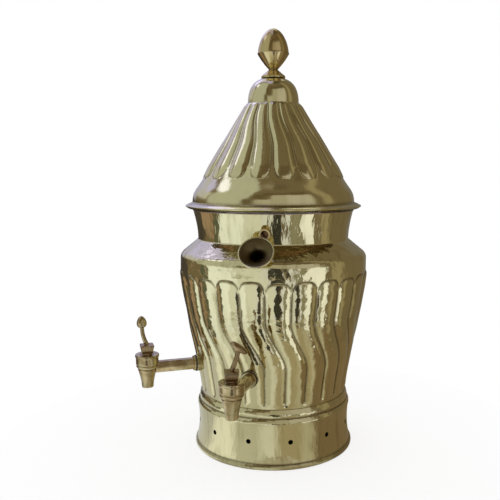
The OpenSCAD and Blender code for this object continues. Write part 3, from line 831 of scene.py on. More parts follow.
@dataclass
class Lathe:
    """A closed or axis-to-axis outline turned round Z.

    A point of the surface is the outline's point at a row, which may lie between two of them, at a turn.

    Attributes:
        outline: Radius and height of each row, outside going up.
        columns: Number of columns.
        start: Turn of the first column.
        closed: Whether the last row joins the first.
    """

    outline: np.ndarray
    columns: int = 192
    start: float = 0.0
    closed: bool = True

    def __post_init__(self) -> None:
        """Turn the outline round if its outside goes down."""
        ahead = np.roll(self.outline, -1, axis=0)
        area = np.sum(self.outline[:, 0] * ahead[:, 1] - ahead[:, 0] * self.outline[:, 1])
        if area < 0.0:
            self.outline = self.outline[::-1]

    def turns(self) -> np.ndarray:
        """Turn of each column."""
        return self.start + np.arange(self.columns) * 360.0 / self.columns

    def at(self, turn: np.ndarray, row: np.ndarray) -> np.ndarray:
        """Points at turns and rows.

        Args:
            turn: Turns in degrees.
            row: Row numbers, which may lie between two rows.

        Returns:
            The points in the last axis.
        """
        low = np.floor(row).astype(int)
        share = (row - low)[..., None]
        count = len(self.outline)
        profile = self.outline[low % count] * (1.0 - share) + self.outline[(low + 1) % count] * share
        return polar(profile[..., 0], turn, profile[..., 1])

    def grid(self, wear_and_shade: np.ndarray | None = None) -> Grid:
        """The whole turned surface, with its darkening mark by row."""
        points = polar(self.outline[:, :1], self.turns()[None], self.outline[:, 1:])
        return Grid(points, self.closed, True, None if wear_and_shade is None else wear_and_shade[:, None])

    def nearest(self, place: Place) -> int:
        """Row nearest to a radius and a height."""
        return int(np.argmin(np.linalg.norm(self.outline - np.asarray(place), axis=1)))

    def bored(self, holes: Iterable[Hole]) -> list[Grid]:
        """The turned surface with holes.

        Round each hole a window of quads is left out on both walls. Rings between the hole's edge and
        the window's edge fill it, and a tunnel joins the two edges.

        Args:
            holes: The holes, none near the first column.

        Returns:
            The grids, whose edges meet point on point.
        """
        whole = self.grid()
        whole.keep = np.ones((len(self.outline), self.columns), bool)
        grids = [whole]
        for hole in holes:
            turns = self.turns()
            left = int(np.argmin(np.abs(turns - hole.turn + hole.half_turn)))
            right = int(np.argmin(np.abs(turns - hole.turn - hole.half_turn)))
            edges = []
            for ends in (hole.outer, hole.inner):
                low, high = self.nearest(ends[0]), self.nearest(ends[1])
                whole.keep[low:high, left:right] = False
                rings = self.window(hole, (left, right), (low, high))
                edges.append(rings.points[0])
                grids.append(rings)
            away = np.linalg.norm(edges[0][:, None] - edges[1][None], axis=-1)
            grids.append(Grid(np.stack([edges[1][np.argmin(away, axis=1)], edges[0]])))
        return grids

    def window(self, hole: Hole, cols: tuple[int, int], rows: tuple[int, int], rings: int = 7) -> Grid:
        """Rings from a hole's edge to the edge of its window.

        Args:
            hole: The hole.
            cols: First and last column of the window.
            rows: First and last row of the window.
            rings: Number of rings.

        Returns:
            The rings, the hole's edge first.
        """
        across = np.arange(cols[0], cols[1])
        up = np.arange(rows[0], rows[1])
        col = np.concatenate([np.full(len(up), cols[0]), across, np.full(len(up), cols[1]), across[::-1] + 1])
        row = np.concatenate([up, np.full(len(across), rows[1]), up[::-1] + 1, np.full(len(across), rows[0])])
        turn = self.turns()[col]
        spots = np.linspace(rows[0], rows[1], 400)
        middle = spots[np.argmin(hole.reach(self.at(np.full(400, hole.turn), spots)))]
        near = np.zeros(len(col))
        far = np.ones(len(col))
        for _ in range(40):
            half = (near + far) / 2.0
            there = self.at(hole.turn + (turn - hole.turn) * half, middle + (row - middle) * half)
            inside = hole.reach(there) < hole.radius
            near = np.where(inside, half, near)
            far = np.where(inside, far, half)
        share = near + (1.0 - near) * (np.linspace(0.0, 1.0, rings)[:, None] ** 1.3)
        points = self.at(hole.turn + (turn - hole.turn) * share, middle + (row - middle) * share)
        return Grid(points)


def tube(path: np.ndarray, radii: np.ndarray, across: tuple, columns: int = 36) -> Grid:
    """Round tube along a path that lies in one plane.

    A ring at each path point is the point plus the radius times cos of the across direction and sin of
    the direction square to it and to the path. A radius of 0 closes an end.

    Args:
        path: Points, one per row.
        radii: Radius at each point.
        across: Direction square to the path's plane.
        columns: Number of points in a ring.

    Returns:
        The tube's grid.
    """
    along = np.gradient(path, axis=0)
    along = along / np.linalg.norm(along, axis=1, keepdims=True)
    side = np.asarray(across, float)[None]
    other = np.cross(along, side)
    angle = np.linspace(0.0, 2.0 * np.pi, columns, endpoint=False)[None, :, None]
    ring = np.cos(angle) * side[:, None] + np.sin(angle) * other[:, None]
    return Grid(path[:, None] + radii[:, None, None] * ring).outward()


def prism(sides: int, sizes: np.ndarray, heights: np.ndarray, columns: int, power: float) -> Grid:
    """Upright bar with rounded corners, whose ends close on the axis.

    The reach at an angle is the size over the power mean of the cosines to the middle of each pair of
    sides, so a high power gives flat sides and tight corners.

    Args:
        sides: Number of sides, an even number.
        sizes: Distance from the axis to a side at each height.
        heights: Heights, one per row.
        columns: Number of points round the bar.
        power: How tight the corners are.

    Returns:
        The bar's grid.
    """
    angle = np.linspace(0.0, 360.0, columns, endpoint=False)
    middles = np.arange(sides // 2) * 360.0 / sides
    cosines = np.abs(np.cos(np.radians(angle[:, None] - middles[None])))
    reach = np.sum(cosines**power, axis=1) ** (-1.0 / power)
    return Grid(polar(sizes[:, None] * reach[None], angle[None], heights[:, None])).outward()


def lobed_sheet(face: np.ndarray, wear_and_shade: np.ndarray, wall: float, hand: float, skip: int) -> Grid:
    """Closed sheet with a lobed face.

    Args:
        face: Points by row, lobe and place across the lobe.
        wear_and_shade: Darkening of each point of the face: tarnished brass and painted shade.
        wall: Thickness of the sheet, towards the axis.
        hand: Depth of the ripples that hand work leaves.
        skip: Rows of the face for each row of the back.

    Returns:
        The sheet, its face going up and its back going down.
    """
    rows = face.shape[0]
    outer = ripple(face.reshape(rows, -1, 3), hand)
    inner = outer[::-skip]
    reach = np.hypot(inner[..., :1], inner[..., 1:2])
    inner = np.concatenate([inner[..., :2] * (1.0 - wall / reach), inner[..., 2:]], axis=-1)
    marks = wear_and_shade.reshape(rows, -1)
    return Grid(np.vstack([outer, inner]), True, True, np.vstack([marks, np.zeros_like(marks[::-skip])]))


def weld(name: str, grids: list[Grid]) -> bpy.types.Mesh:
    """Mesh of grids, with its darkening mark, whose points that meet are merged.

    Args:
        name: The mesh's name.
        grids: Grids that meet point on point or are closed by themselves.

    Returns:
        The mesh, in metres.
    """
    points = np.vstack([grid.points.reshape(-1, 3) for grid in grids]) * MM
    starts = np.cumsum([0] + [grid.points.shape[0] * grid.points.shape[1] for grid in grids])
    quads = np.vstack([grid.quads() + start for grid, start in zip(grids, starts)])
    mesh = bpy.data.meshes.new(name)
    mesh.from_pydata(points.tolist(), [], quads.tolist())
    wear_and_shade = mesh.attributes.new(WEAR_AND_SHADE, "FLOAT", "POINT")
    wear_and_shade.data.foreach_set("value", np.concatenate([grid.marks() for grid in grids]).astype(np.float32))
    merged = bmesh.new()
    merged.from_mesh(mesh)
    bmesh.ops.remove_doubles(merged, verts=merged.verts, dist=MERGE_DISTANCE)
    merged.to_mesh(mesh)
    merged.free()
    return mesh


def show(name: str, data: bpy.types.ID) -> bpy.types.Object:
    """Put a mesh, a camera or a lamp in the scene.

    Args:
        name: The object's name.
        data: What it shows.

    Returns:
        The object.
    """
    made = bpy.data.objects.new(name, data)
    bpy.context.scene.collection.objects.link(made)
    return made


def forge(
    name: str,
    grids: list[Grid],
    finish: Finish,
    body: Body,
    slot: Slot,
    nodes: Iterable[str],
    sharp: float = 38.0,
) -> None:
    """Make one piece from its grids and set it in the frame.

    Args:
        name: The piece's name.
        grids: Grids that meet point on point or are closed by themselves.
        finish: The surface finish.
        body: The body that it rides on.
        slot: The record's material slot; not used.
        nodes: The nodes that it stands for.
        sharp: Angle in degrees past which an edge is shown sharp.
    """
    mesh = weld(name, grids)
    mesh.shade_smooth()
    mesh.set_sharp_from_angle(angle=math.radians(sharp))
    mesh.materials.append(finish.material())
    piece = show(name, mesh)
    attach(piece, body.value)
    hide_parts(*nodes)
    LOG.info("%s: %d faces on %s", name, len(mesh.polygons), body.value)


def dress(node: str, finish: Finish) -> None:
    """Give a node of the frame a finish.

    Args:
        node: The node's name.
        finish: The surface finish.
    """
    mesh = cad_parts[node].data
    if not mesh.materials:
        mesh.materials.append(finish.material())
    for place in range(len(mesh.materials)):
        mesh.materials[place] = finish.material()
    LOG.info("%s: dressed in %s", node, finish.name)


# The urn's sub-assemblies


@dataclass
class Pedestal:
    """Vented base ring and the rolled collar on it."""

    wall: float = 1.5
    base_h: float = 63.0
    base_r: float = 119.5
    drum_r: float = 118.0
    waist_r: float = 114.3
    drum_top_r: float = 116.0
    hem_h: float = 8.0
    hem_swell: float = 3.0
    foot_in_r: float = 108.0
    foot_t: float = 3.0
    seat_r: float = 104.3
    vent_count: int = 12
    vent_d: float = 7.0
    vent_z: float = 38.0
    vent_turn: float = -2.0
    vent_window: float = 8.0
    vent_half_turn: float = 6.0
    collar_h: float = 21.0
    roll_h: float = 9.0
    collar_r: float = 116.4
    groove_r: float = 113.4
    collar_top_r: float = 110.8
    roll_swell: float = 2.0
    hem_pull: float = 0.45
    base_round: float = 0.5
    base_step: float = 1.6
    base_cols: int = 240
    base_hand: float = 0.15
    collar_round: float = 0.3
    collar_step: float = 2.0
    collar_hand: float = 0.2
    corner_gap: float = 0.5
    # Darkening amounts of the hem and the collar.
    hem_overall_darkening: float = 0.35
    hem_fade: tuple = (-1.5, 0.5)
    hem_crease_darkening: float = 0.6
    crease_w: float = 1.2
    # Painted contact shade where the base meets the table.
    foot_contact_shade: float = 0.6
    foot_fade: tuple = (0.5, 2.0)
    collar_groove_darkening: float = 0.8
    groove_w: float = 1.3
    collar_seam_darkening: float = 0.6
    seam_h: float = 0.5
    seam_w: float = 2.0

    def build(self) -> None:
        """Make the base ring and the collar."""
        rolls = [self.collar_grid()]
        forge("base_ring_sheet", self.base_grids(), PLANISHED_BRASS, Body.URN, Slot.BRASS, ["base_ring"])
        forge("foot_collar_rolls", rolls, HAMMERED_BRASS, Body.URN, Slot.BRASS, ["foot_collar"])

    def base_grids(self) -> list[Grid]:
        """Base ring: hem curve, waisted drum and seat, turned round the axis and bored with vents.

        Returns:
            The ring, and the rings and tunnel of each vent.
        """
        swell = self.base_r + self.hem_swell, self.hem_h * self.hem_pull
        hem = bezier([(self.base_r, 0), swell, (self.drum_r, self.hem_h)], 9)
        pull = 2 * self.waist_r - (self.drum_r + self.drum_top_r) / 2
        middle = (self.hem_h + self.base_h) / 2
        drum = bezier([(self.drum_r, self.hem_h), (pull, middle), (self.drum_top_r, self.base_h)], 25)
        face = join(hem, drum[1:])
        back = inset(face, self.wall)
        top = self.base_h - self.wall
        gap = self.corner_gap
        back = back[(back[:, 1] > self.foot_t + gap) & (back[:, 1] < top - gap)]
        outline = join(
            face,
            [(self.seat_r, self.base_h), (self.seat_r, top), (self.drum_top_r - self.wall, top)],
            back[::-1],
            [(back[0, 0], self.foot_t), (self.foot_in_r, self.foot_t), (self.foot_in_r, 0)],
        )
        outline = divide(soften(outline, self.base_round), self.base_step)
        lathe = Lathe(outline, self.base_cols, self.vent_turn - 180.0 / self.vent_count)
        turns = self.vent_turn + np.arange(self.vent_count) * 360.0 / self.vent_count
        grids = [grid.rippled(self.base_hand) for grid in lathe.bored(map(self.vent, turns))]
        return [replace(grid, wear_and_shade=self.hem_darkening_and_contact_shade(grid.points[..., 2])) for grid in grids]

    def hem_darkening_and_contact_shade(self, height: np.ndarray) -> np.ndarray:
        """Darkening of the hem: a little all over it, more in a line along its top, and painted contact shade
        at the table.

        Args:
            height: Heights of points.

        Returns:
            Their darkening.
        """
        hem = 1.0 - ease(*self.hem_fade, height - self.hem_h)
        crease = bell(height, self.hem_h, self.crease_w)
        # Painted contact shade at the table.
        foot = 1.0 - ease(*self.foot_fade, height)
        return self.hem_overall_darkening * hem + self.hem_crease_darkening * crease + self.foot_contact_shade * foot

    def vent(self, turn: float) -> Hole:
        """One vent hole at a turn.

        Args:
            turn: Turn of the hole's middle.

        Returns:
            The hole through both walls of the drum.
        """
        low, high = self.vent_z - self.vent_window, self.vent_z + self.vent_window
        back_r = self.waist_r - self.wall
        outer = (self.waist_r, low), (self.waist_r, high)
        inner = (back_r, high), (back_r, low)
        origin = 0, 0, self.vent_z
        return Hole(origin, level(turn), self.vent_d / 2, turn, self.vent_half_turn, outer, inner)

    def roll(self, low: tuple, high: tuple, count: int) -> np.ndarray:
        """Curve between two points that swells past its chord."""
        middle = (low[0] + high[0]) / 2 + self.roll_swell, (low[1] + high[1]) / 2
        return bezier([low, middle, high], count)

    def collar_grid(self) -> Grid:
        """Collar: two rolls with a groove between them, turned round the axis.

        Returns:
            The collar.
        """
        groove = self.base_h + self.roll_h
        top = self.base_h + self.collar_h
        lower = self.roll((self.collar_r, self.base_h), (self.groove_r, groove), 12)
        upper = self.roll((self.groove_r, groove), (self.collar_top_r, top), 14)
        outline = join([(self.seat_r, self.base_h)], lower, upper[1:], [(self.seat_r, top)])
        lathe = Lathe(divide(soften(outline, self.collar_round), self.collar_step))
        reach, height = lathe.outline.T
        near_groove = np.abs(height - groove) < self.groove_w
        seam = (height > top - self.seam_h) & (reach > self.collar_top_r - self.seam_w)
        # Darker in the groove and along the top seam.
        wear_and_shade = self.collar_groove_darkening * near_groove + self.collar_seam_darkening * seam
        return lathe.grid(wear_and_shade).rippled(self.collar_hand)


@dataclass
class Belly:
    """Lobed body shell: a row of raised tongues with arched tops, whose creases swing to one side."""

    wall: float = 1.5
    foot_z: float = 84.0
    floor_z: float = 86.0
    lobe_z: float = 268.0
    edge_z: float = 286.0
    foot_r: float = 109.8
    body_r: float = 139.6
    foot_pull: float = 31.0
    belly_pull: float = 33.0
    lobes: int = 24
    lobe_h: float = 3.5
    crease_d: float = 2.0
    lobe_turn: float = 11.3
    swirl: float = 13.4
    swirl_z: float = 212.0
    swirl_h: float = 74.0
    fade_h: float = 8.0
    lobe_cols: int = 24
    flat: float = 2.5
    line_w: float = 1.9
    rows: tuple = ((96.0, 9), (240.0, 64), (270.0, 46))
    edge_rows: int = 7
    back_skip: int = 8
    straight: tuple = (0.8, 1.4)
    arch_line: float = 0.12
    crease_error: float = 0.5
    top_error: float = 1.2
    height_error: float = 0.08
    hand: float = 0.25

    def build(self) -> None:
        """Make the body shell."""
        forge("body_shell_lobes", [self.grid()], HAMMERED_BRASS, Body.URN, Slot.BRASS, ["body_shell"], 60.0)

    def radius(self, height: np.ndarray) -> np.ndarray:
        """Radius of the body's outline: a cubic curve that is upright at the foot and at the lobes' tops.

        Args:
            height: Heights.

        Returns:
            The radius at each height.
        """
        corners = [
            (self.foot_r, self.foot_z),
            (self.foot_r, self.foot_z + self.foot_pull),
            (self.body_r, self.lobe_z - self.belly_pull),
            (self.body_r, self.lobe_z),
        ]
        curve = bezier(corners, 200)
        return np.interp(height, curve[:, 1], curve[:, 0])

    def grid(self) -> Grid:
        """Lobed sheet.

        Across a lobe u goes from 0 at one crease to 1 at the next. Its bulge is 1 - |2u - 1|^2.5, and s is
        the distance below the lobe's top over half of its width. The radius is the outline's plus the lobe's
        height times bulge times arch, less the crease's depth where s is past 0. Each lobe has its own small
        errors, and the creases and the lines round the lobes' arched tops are darkened: tarnished brass and
        painted shade.

        Returns:
            The shell, face and back.
        """
        draw = np.random.default_rng(24)
        heights = levels(self.foot_z, (*self.rows, (self.edge_z, self.edge_rows)))
        errors = draw.uniform(-1.0, 1.0, (3, self.lobes))
        pitch = 2.0 * math.pi * self.body_r / self.lobes
        u = (np.arange(self.lobe_cols) / self.lobe_cols)[None, None]
        s = (self.lobe_z + self.top_error * errors[1][None, :, None] - heights) / (pitch / 2.0)
        bulge = 1.0 - np.abs(2.0 * u - 1.0) ** self.flat
        fade = ease(self.floor_z, self.floor_z + self.fade_h, heights)
        rise = self.lobe_h * (1.0 + self.height_error * errors[2][None, :, None]) * bulge * arch(bulge, s)
        radius = self.radius(heights) + fade * (rise - self.crease_d * ease(0.0, 1.0, s))
        swing = self.swirl * ease(self.swirl_z, self.swirl_z - self.swirl_h, heights)
        turn = self.lobe_turn + swing + fan(u, self.crease_error * errors[0])
        # Darkened creases and arch lines: tarnished brass and painted shade in the creases where the lobes
        # run straight, and round their arched tops.
        straight = ease(*self.straight, s)
        crease = bell(np.minimum(u, 1.0 - u) * pitch, 0.0, self.line_w)
        rounded = bell(np.sqrt(bulge) - np.maximum(0.0, 1.0 - s), 0.0, self.arch_line)
        wear_and_shade = (straight * crease + (1.0 - straight) * rounded) * fade * ease(-0.05, 0.05, s)
        return lobed_sheet(polar(radius, turn, heights), wear_and_shade, self.wall, self.hand, self.back_skip)


@dataclass
class Shoulder:
    """Shoulder and neck, with the filler cup and the vent tube that are let into them."""

    wall: float = 1.5
    edge_z: float = 286.0
    neck_z: float = 314.0
    rim_z: float = 356.0
    body_r: float = 139.6
    edge_h: float = 11.0
    edge_in: float = 6.0
    neck_r: float = 112.8
    rim_r: float = 119.5
    lap_h: float = 8.0
    lap_r: float = 138.0
    cup_turn: float = 6.8
    cup_down: float = 24.0
    cup_tilt: float = 39.0
    throat_r: float = 9.0
    throat_l: float = 12.0
    mouth_r: float = 23.0
    cup_h: float = 15.0
    cup_wall: float = 1.2
    roll_r: float = 1.3
    tube_turn: float = 10.4
    tube_z: float = 330.0
    tube_r: float = 8.0
    tube_bore_r: float = 5.2
    tube_ends: tuple = (106.8, 124.8)
    gap: float = 0.06
    edge_pull: float = 0.6
    neck_pull: float = 0.4
    flare_pull: float = 0.7
    crease_round: float = 1.2
    lip_round: float = 0.9
    step: float = 1.5
    columns: int = 240
    hand: float = 0.3
    cup_window: float = 11.0
    cup_half_turn: float = 7.5
    tube_window: float = 11.0
    tube_half_turn: float = 6.0
    tube_flare: float = 4.0
    roll_span: tuple = (-110.0, 150.0)
    corner_gap: float = 0.2
    cup_hole_low: float = 3.0
    cup_hole_back: float = 4.0
    back_gap: float = 0.1
    cup_columns: int = 96
    # Painted shade on the cup's inside.
    cup_inside_shade: float = 1.4
    tube_step: float = 2.0
    tube_columns: int = 64
    # Painted shade in the vent tube's bore.
    bore_shade: float = 0.15
    bore_skin: float = 0.4

    def build(self) -> None:
        """Make the shoulder, the cup and the tube."""
        forge("shoulder_and_neck", self.grids(), PLANISHED_BRASS, Body.URN, Slot.BRASS, ["shoulder_neck"])
        forge("filler_cup_flare", [self.cup_grid()], SPUN_BRASS, Body.URN, Slot.BRASS, ["filler_cup"])
        forge("vent_tube_ring", [self.tube_grid()], TURNED_BRASS, Body.URN, Slot.BRASS, ["vent_tube"])

    def slope(self) -> np.ndarray:
        """Direction down the shoulder's straight slope, as radius and height."""
        way = np.array([self.body_r - self.edge_in - self.neck_r, self.edge_z + self.edge_h - self.neck_z])
        return way / np.linalg.norm(way)

    def cup_foot(self) -> np.ndarray:
        """Point where the cup's axis meets the slope."""
        reach, height = np.array([self.neck_r, self.neck_z]) + self.slope() * self.cup_down
        return polar(reach, self.cup_turn, height)

    def cup_axis(self) -> np.ndarray:
        """Direction of the cup's axis."""
        tilt = math.radians(self.cup_tilt)
        return polar(math.cos(tilt), self.cup_turn, math.sin(tilt))

    def grids(self) -> list[Grid]:
        """Shoulder edge, slope and flared neck, turned round the axis and bored for cup and tube.

        Returns:
            The shell, and the rings and tunnel of each hole.
        """
        bend = self.body_r, self.edge_z + self.edge_h * self.edge_pull
        tip = self.body_r - self.edge_in, self.edge_z + self.edge_h
        edge = bezier([(self.body_r, self.edge_z), bend, tip], 12)
        bend = self.neck_r, self.neck_z + (self.rim_z - self.neck_z) * self.neck_pull
        neck = bezier([(self.neck_r, self.neck_z), bend, (self.rim_r, self.rim_z)], 20)
        face = divide(soften(join(edge, neck), self.crease_round, False), self.step, False)
        lap_in = self.lap_r - self.wall
        back = inset(face, self.wall)
        back = back[(back[:, 0] < lap_in) & (back[:, 1] < self.rim_z - self.corner_gap)]
        outline = join(
            face,
            [(self.rim_r - self.wall, self.rim_z)],
            back[::-1],
            [(lap_in, back[0, 1] - self.corner_gap), (lap_in, self.edge_z - self.lap_h)],
            [(self.lap_r, self.edge_z - self.lap_h), (self.lap_r, self.edge_z)],
        )
        lathe = Lathe(divide(outline, self.step), self.columns, self.cup_turn - 180.0)
        return [grid.rippled(self.hand) for grid in lathe.bored(self.holes())]

    def holes(self) -> list[Hole]:
        """Holes for the cup's throat and the vent tube.

        Returns:
            The cup's hole and the tube's.
        """
        down = self.slope()
        inward = np.array([down[1], -down[0]]) * self.wall
        high = np.array([self.neck_r, self.neck_z]) + down * self.cup_window
        outer = (self.body_r - self.corner_gap, self.edge_z + self.cup_hole_low), high
        back_r = self.lap_r - self.wall - self.back_gap
        inner = high + inward, (back_r, self.edge_z + self.cup_hole_back)
        throat = self.throat_r + self.gap
        way = self.cup_axis()
        cup = Hole(self.cup_foot(), way, throat, self.cup_turn, self.cup_half_turn, outer, inner)
        low, high = self.tube_z - self.tube_window, self.tube_z + self.tube_window
        flared = self.rim_r - self.tube_flare
        outer = (self.neck_r, low), (flared, high)
        inner = (flared - self.wall, high), (self.neck_r - self.wall, low)
        origin, way = (0, 0, self.tube_z), level(self.tube_turn)
        socket = self.tube_r + self.gap
        return [cup, Hole(origin, way, socket, self.tube_turn, self.tube_half_turn, outer, inner)]

    def cup_grid(self) -> Grid:
        """Cup: throat and flared mouth with a rolled edge, turned round the cup's own axis.

        The rolled edge is most of a circle that runs from the outside of the flare over its end.

        Returns:
            The cup in its place, with painted shade on its inside.
        """
        bend = self.throat_r, self.cup_h * self.flare_pull
        flare = bezier([(self.throat_r, self.cup_wall), bend, (self.mouth_r, self.cup_h)], 22)
        face = join([(self.throat_r, -self.throat_l)], flare)
        back = inset(face, self.cup_wall)
        angle = np.radians(np.linspace(*self.roll_span, 15))
        roll = self.roll_r * np.stack([np.cos(angle), np.sin(angle)], axis=1) + (self.mouth_r, self.cup_h)
        lathe = Lathe(join(face[:-1], roll, back[:-1][::-1]), self.cup_columns)
        reach, height = lathe.outline.T
        # Painted shade on the cup's inside: points inward of the wall's middle are darkened.
        skin = np.interp(height, face[:, 1], face[:, 0]) - self.cup_wall / 2
        return lathe.grid(self.cup_inside_shade * (reach < skin)).stood(self.cup_foot(), self.cup_axis())

    def tube_grid(self) -> Grid:
        """Vent tube: a thick ring with rounded lips, turned round a level radius.

        Returns:
            The tube in its place, with painted shade in its bore.
        """
        start, end = self.tube_ends
        outside, inside = self.tube_r, self.tube_bore_r
        corners = join([(inside, start), (outside, start), (outside, end), (inside, end)])
        lathe = Lathe(divide(soften(corners, self.lip_round), self.tube_step), self.tube_columns)
        # Painted shade: the bore's inside is darkened.
        grid = lathe.grid(self.bore_shade * (lathe.outline[:, 0] < inside + self.bore_skin))
        return grid.stood((0, 0, self.tube_z), level(self.tube_turn))


@dataclass
class Vessel:
    """Tinned inner vessel that the lid stands on, the jacket's floor and the outlet pipe."""

    wall: float = 1.5
    radius: float = 96.0
    floor_z: float = 112.0
    rim_z: float = 356.0
    round_r: float = 8.0
    lip_r: float = 120.5
    lip_round: float = 0.5
    step: float = 6.0
    columns: int = 128

    def build(self) -> None:
        """Make the vessel and dress what lies outside it."""
        forge("inner_vessel_wall", [self.grid()], TIN, Body.URN, Slot.TIN, ["inner_vessel"])
        dress("jacket_floor", TIN)
        dress("salep_outlet_pipe", TIN)

    def grid(self) -> Grid:
        """Vessel: floor, rounded corner, upright wall and level lip, turned round the axis, bare outside.

        Returns:
            The vessel, its outside marked as bare.
        """
        low, high = self.floor_z, self.floor_z + self.round_r
        corner = bezier([(self.radius - self.round_r, low), (self.radius, low), (self.radius, high)], 9)
        face = join([(0.0, low)], corner, [(self.radius, self.rim_z)])
        back = inset(face, self.wall)[:-1]
        inside, top = self.radius - self.wall, self.rim_z + self.wall
        lip = [(self.radius, self.rim_z), (self.lip_r, self.rim_z), (self.lip_r, top), (inside, top)]
        outline = soften(join(face[:-1], lip, back[::-1]), self.lip_round, False)
        lathe = Lathe(divide(outline, self.step, False), self.columns, closed=False)
        reach, height = lathe.outline.T
        outside = (reach > self.radius - self.wall / 2) | (height < low + self.wall / 2)
        return lathe.grid(np.where(outside & (height < top - self.wall / 2), 1.0, 0.0))


@dataclass
class Lever:
    """Lever on a tap's plug: a curved stem out of the square head, and a grip on its end.

    Attributes:
        turn: Way that it points, from straight out along the shank.
        lean: Lean of the line from the stem's foot to its end.
        stem_l: Length of that line.
        bend: Share of the lean that the stem starts with in excess and lacks at its end.
        stem_r: Radius of the stem.
        stem_in: Depth of the stem's hole.
        taper: Radius at the stem's foot and what it loses to its end, as shares.
        finish: Its bronze.
    """

    turn: float
    lean: float
    stem_l: float
    bend: float
    stem_r: float = 3.0
    stem_in: float = 7.0
    taper: tuple = (1.06, 0.12)
    finish: Skin = BRONZE

    def grids(self, foot: float) -> list[Grid]:
        """Stem and grip, round the plug's axis.

        Args:
            foot: Height of the head's top.

        Returns:
            The two grids.
        """
        path = self.path(foot)
        wide, loss = self.taper
        radii = self.stem_r * (wide - loss * ease(0.0, 1.0, np.linspace(0.0, 1.0, len(path))))
        radii[0] = 0.0
        return [tube(path, radii, (1.0, 0.0, 0.0)), self.grip(path[-1])]

    def path(self, foot: float) -> np.ndarray:
        """Points along the stem.

        The lean falls along the stem from above its mean to below it, and the path is the running sum of its
        sine and cosine, scaled to end at the stem's end.

        Args:
            foot: Height of the head's top.

        Returns:
            The points, from inside the head to the end.
        """
        tilt = math.radians(self.lean)
        end = np.array([math.sin(tilt), math.cos(tilt)])
        length = np.linspace(0.0, 1.0, 40)
        lean = np.radians(self.lean * (1.0 + self.bend - 2.0 * self.bend * ease(0.0, 1.0, length)))
        run = np.stack([np.sin(lean), np.cos(lean)], axis=1)
        run = np.cumsum(run, axis=0) / np.sum(run, axis=0) * end * self.stem_l
        run = np.vstack([-self.stem_in * end[None], -self.stem_in * end[None] + 0.01, run])
        return np.stack([np.zeros(len(run)), -run[:, 0], run[:, 1] + foot], axis=1)

    def grip(self, end: np.ndarray) -> Grid:
        """Grip on the stem's end."""
        raise NotImplementedError


@dataclass
class LeafLever(Lever):
    """Lever with a thumb leaf."""

    leaf_l: float = 25.0
    leaf_w: float = 15.0
    leaf_t: float = 8.0
    leaf_lean: float = 36.0
    leaf_power: float = 0.55

    def grip(self, end: np.ndarray) -> Grid:
        """Thumb leaf: a flat pillow, round at its low end and pointed at its high end.

        Round the leaf, x is half the width times sin(a) times a power of cos(a / 2), which makes the point,
        and y is half the length times -cos(a). Both shrink to the poles with a power of the cosine of a
        latitude, whose sine times half the thickness is the height.

        Args:
            end: The stem's end.

        Returns:
            The leaf on the stem's end.
        """
        angle = np.linspace(0.0, 2.0 * np.pi, 72, endpoint=False)[None]
        latitude = np.radians(np.linspace(-90.0, 90.0, 25))[:, None]
        wide = np.sin(angle) * np.abs(np.cos(angle / 2.0)) ** self.leaf_power
        spread = np.abs(np.cos(latitude)) ** self.leaf_power
        x = self.leaf_w / 2 * wide / np.max(wide) * spread
        y = -self.leaf_l / 2 * np.cos(angle) * spread
        z = self.leaf_t / 2 * np.sin(latitude) * np.ones_like(angle)
        side, up = math.sin(math.radians(self.leaf_lean)), math.cos(math.radians(self.leaf_lean))
        return Grid(np.stack([x, y * up - z * side, y * side + z * up], axis=-1) + end).outward()


@dataclass
class BudLever(Lever):
    """Lever with a bud."""

    bud_r: float = 7.2
    bud_h: float = 17.0
    foot_share: float = 0.9
    low_pull: tuple = (1.4, 0.02)
    high_pull: tuple = (1.05, 0.9)

    def grip(self, end: np.ndarray) -> Grid:
        """Bud: an egg with a blunt point, turned round the way that the stem ends.

        Args:
            end: The stem's end.

        Returns:
            The bud on the stem's end.
        """
        low, high = np.array([self.low_pull, self.high_pull]) * (self.bud_r, self.bud_h)
        side = bezier([(self.stem_r * self.foot_share, 0.0), low, high, (0.0, self.bud_h)], 30)
        bud = Lathe(join([(0.0, -0.5)], side), 48, closed=False).grid()
        tilt = math.radians(self.lean * (1.0 - self.bend))
        return bud.stood(end, (0.0, -math.sin(tilt), math.cos(tilt)))


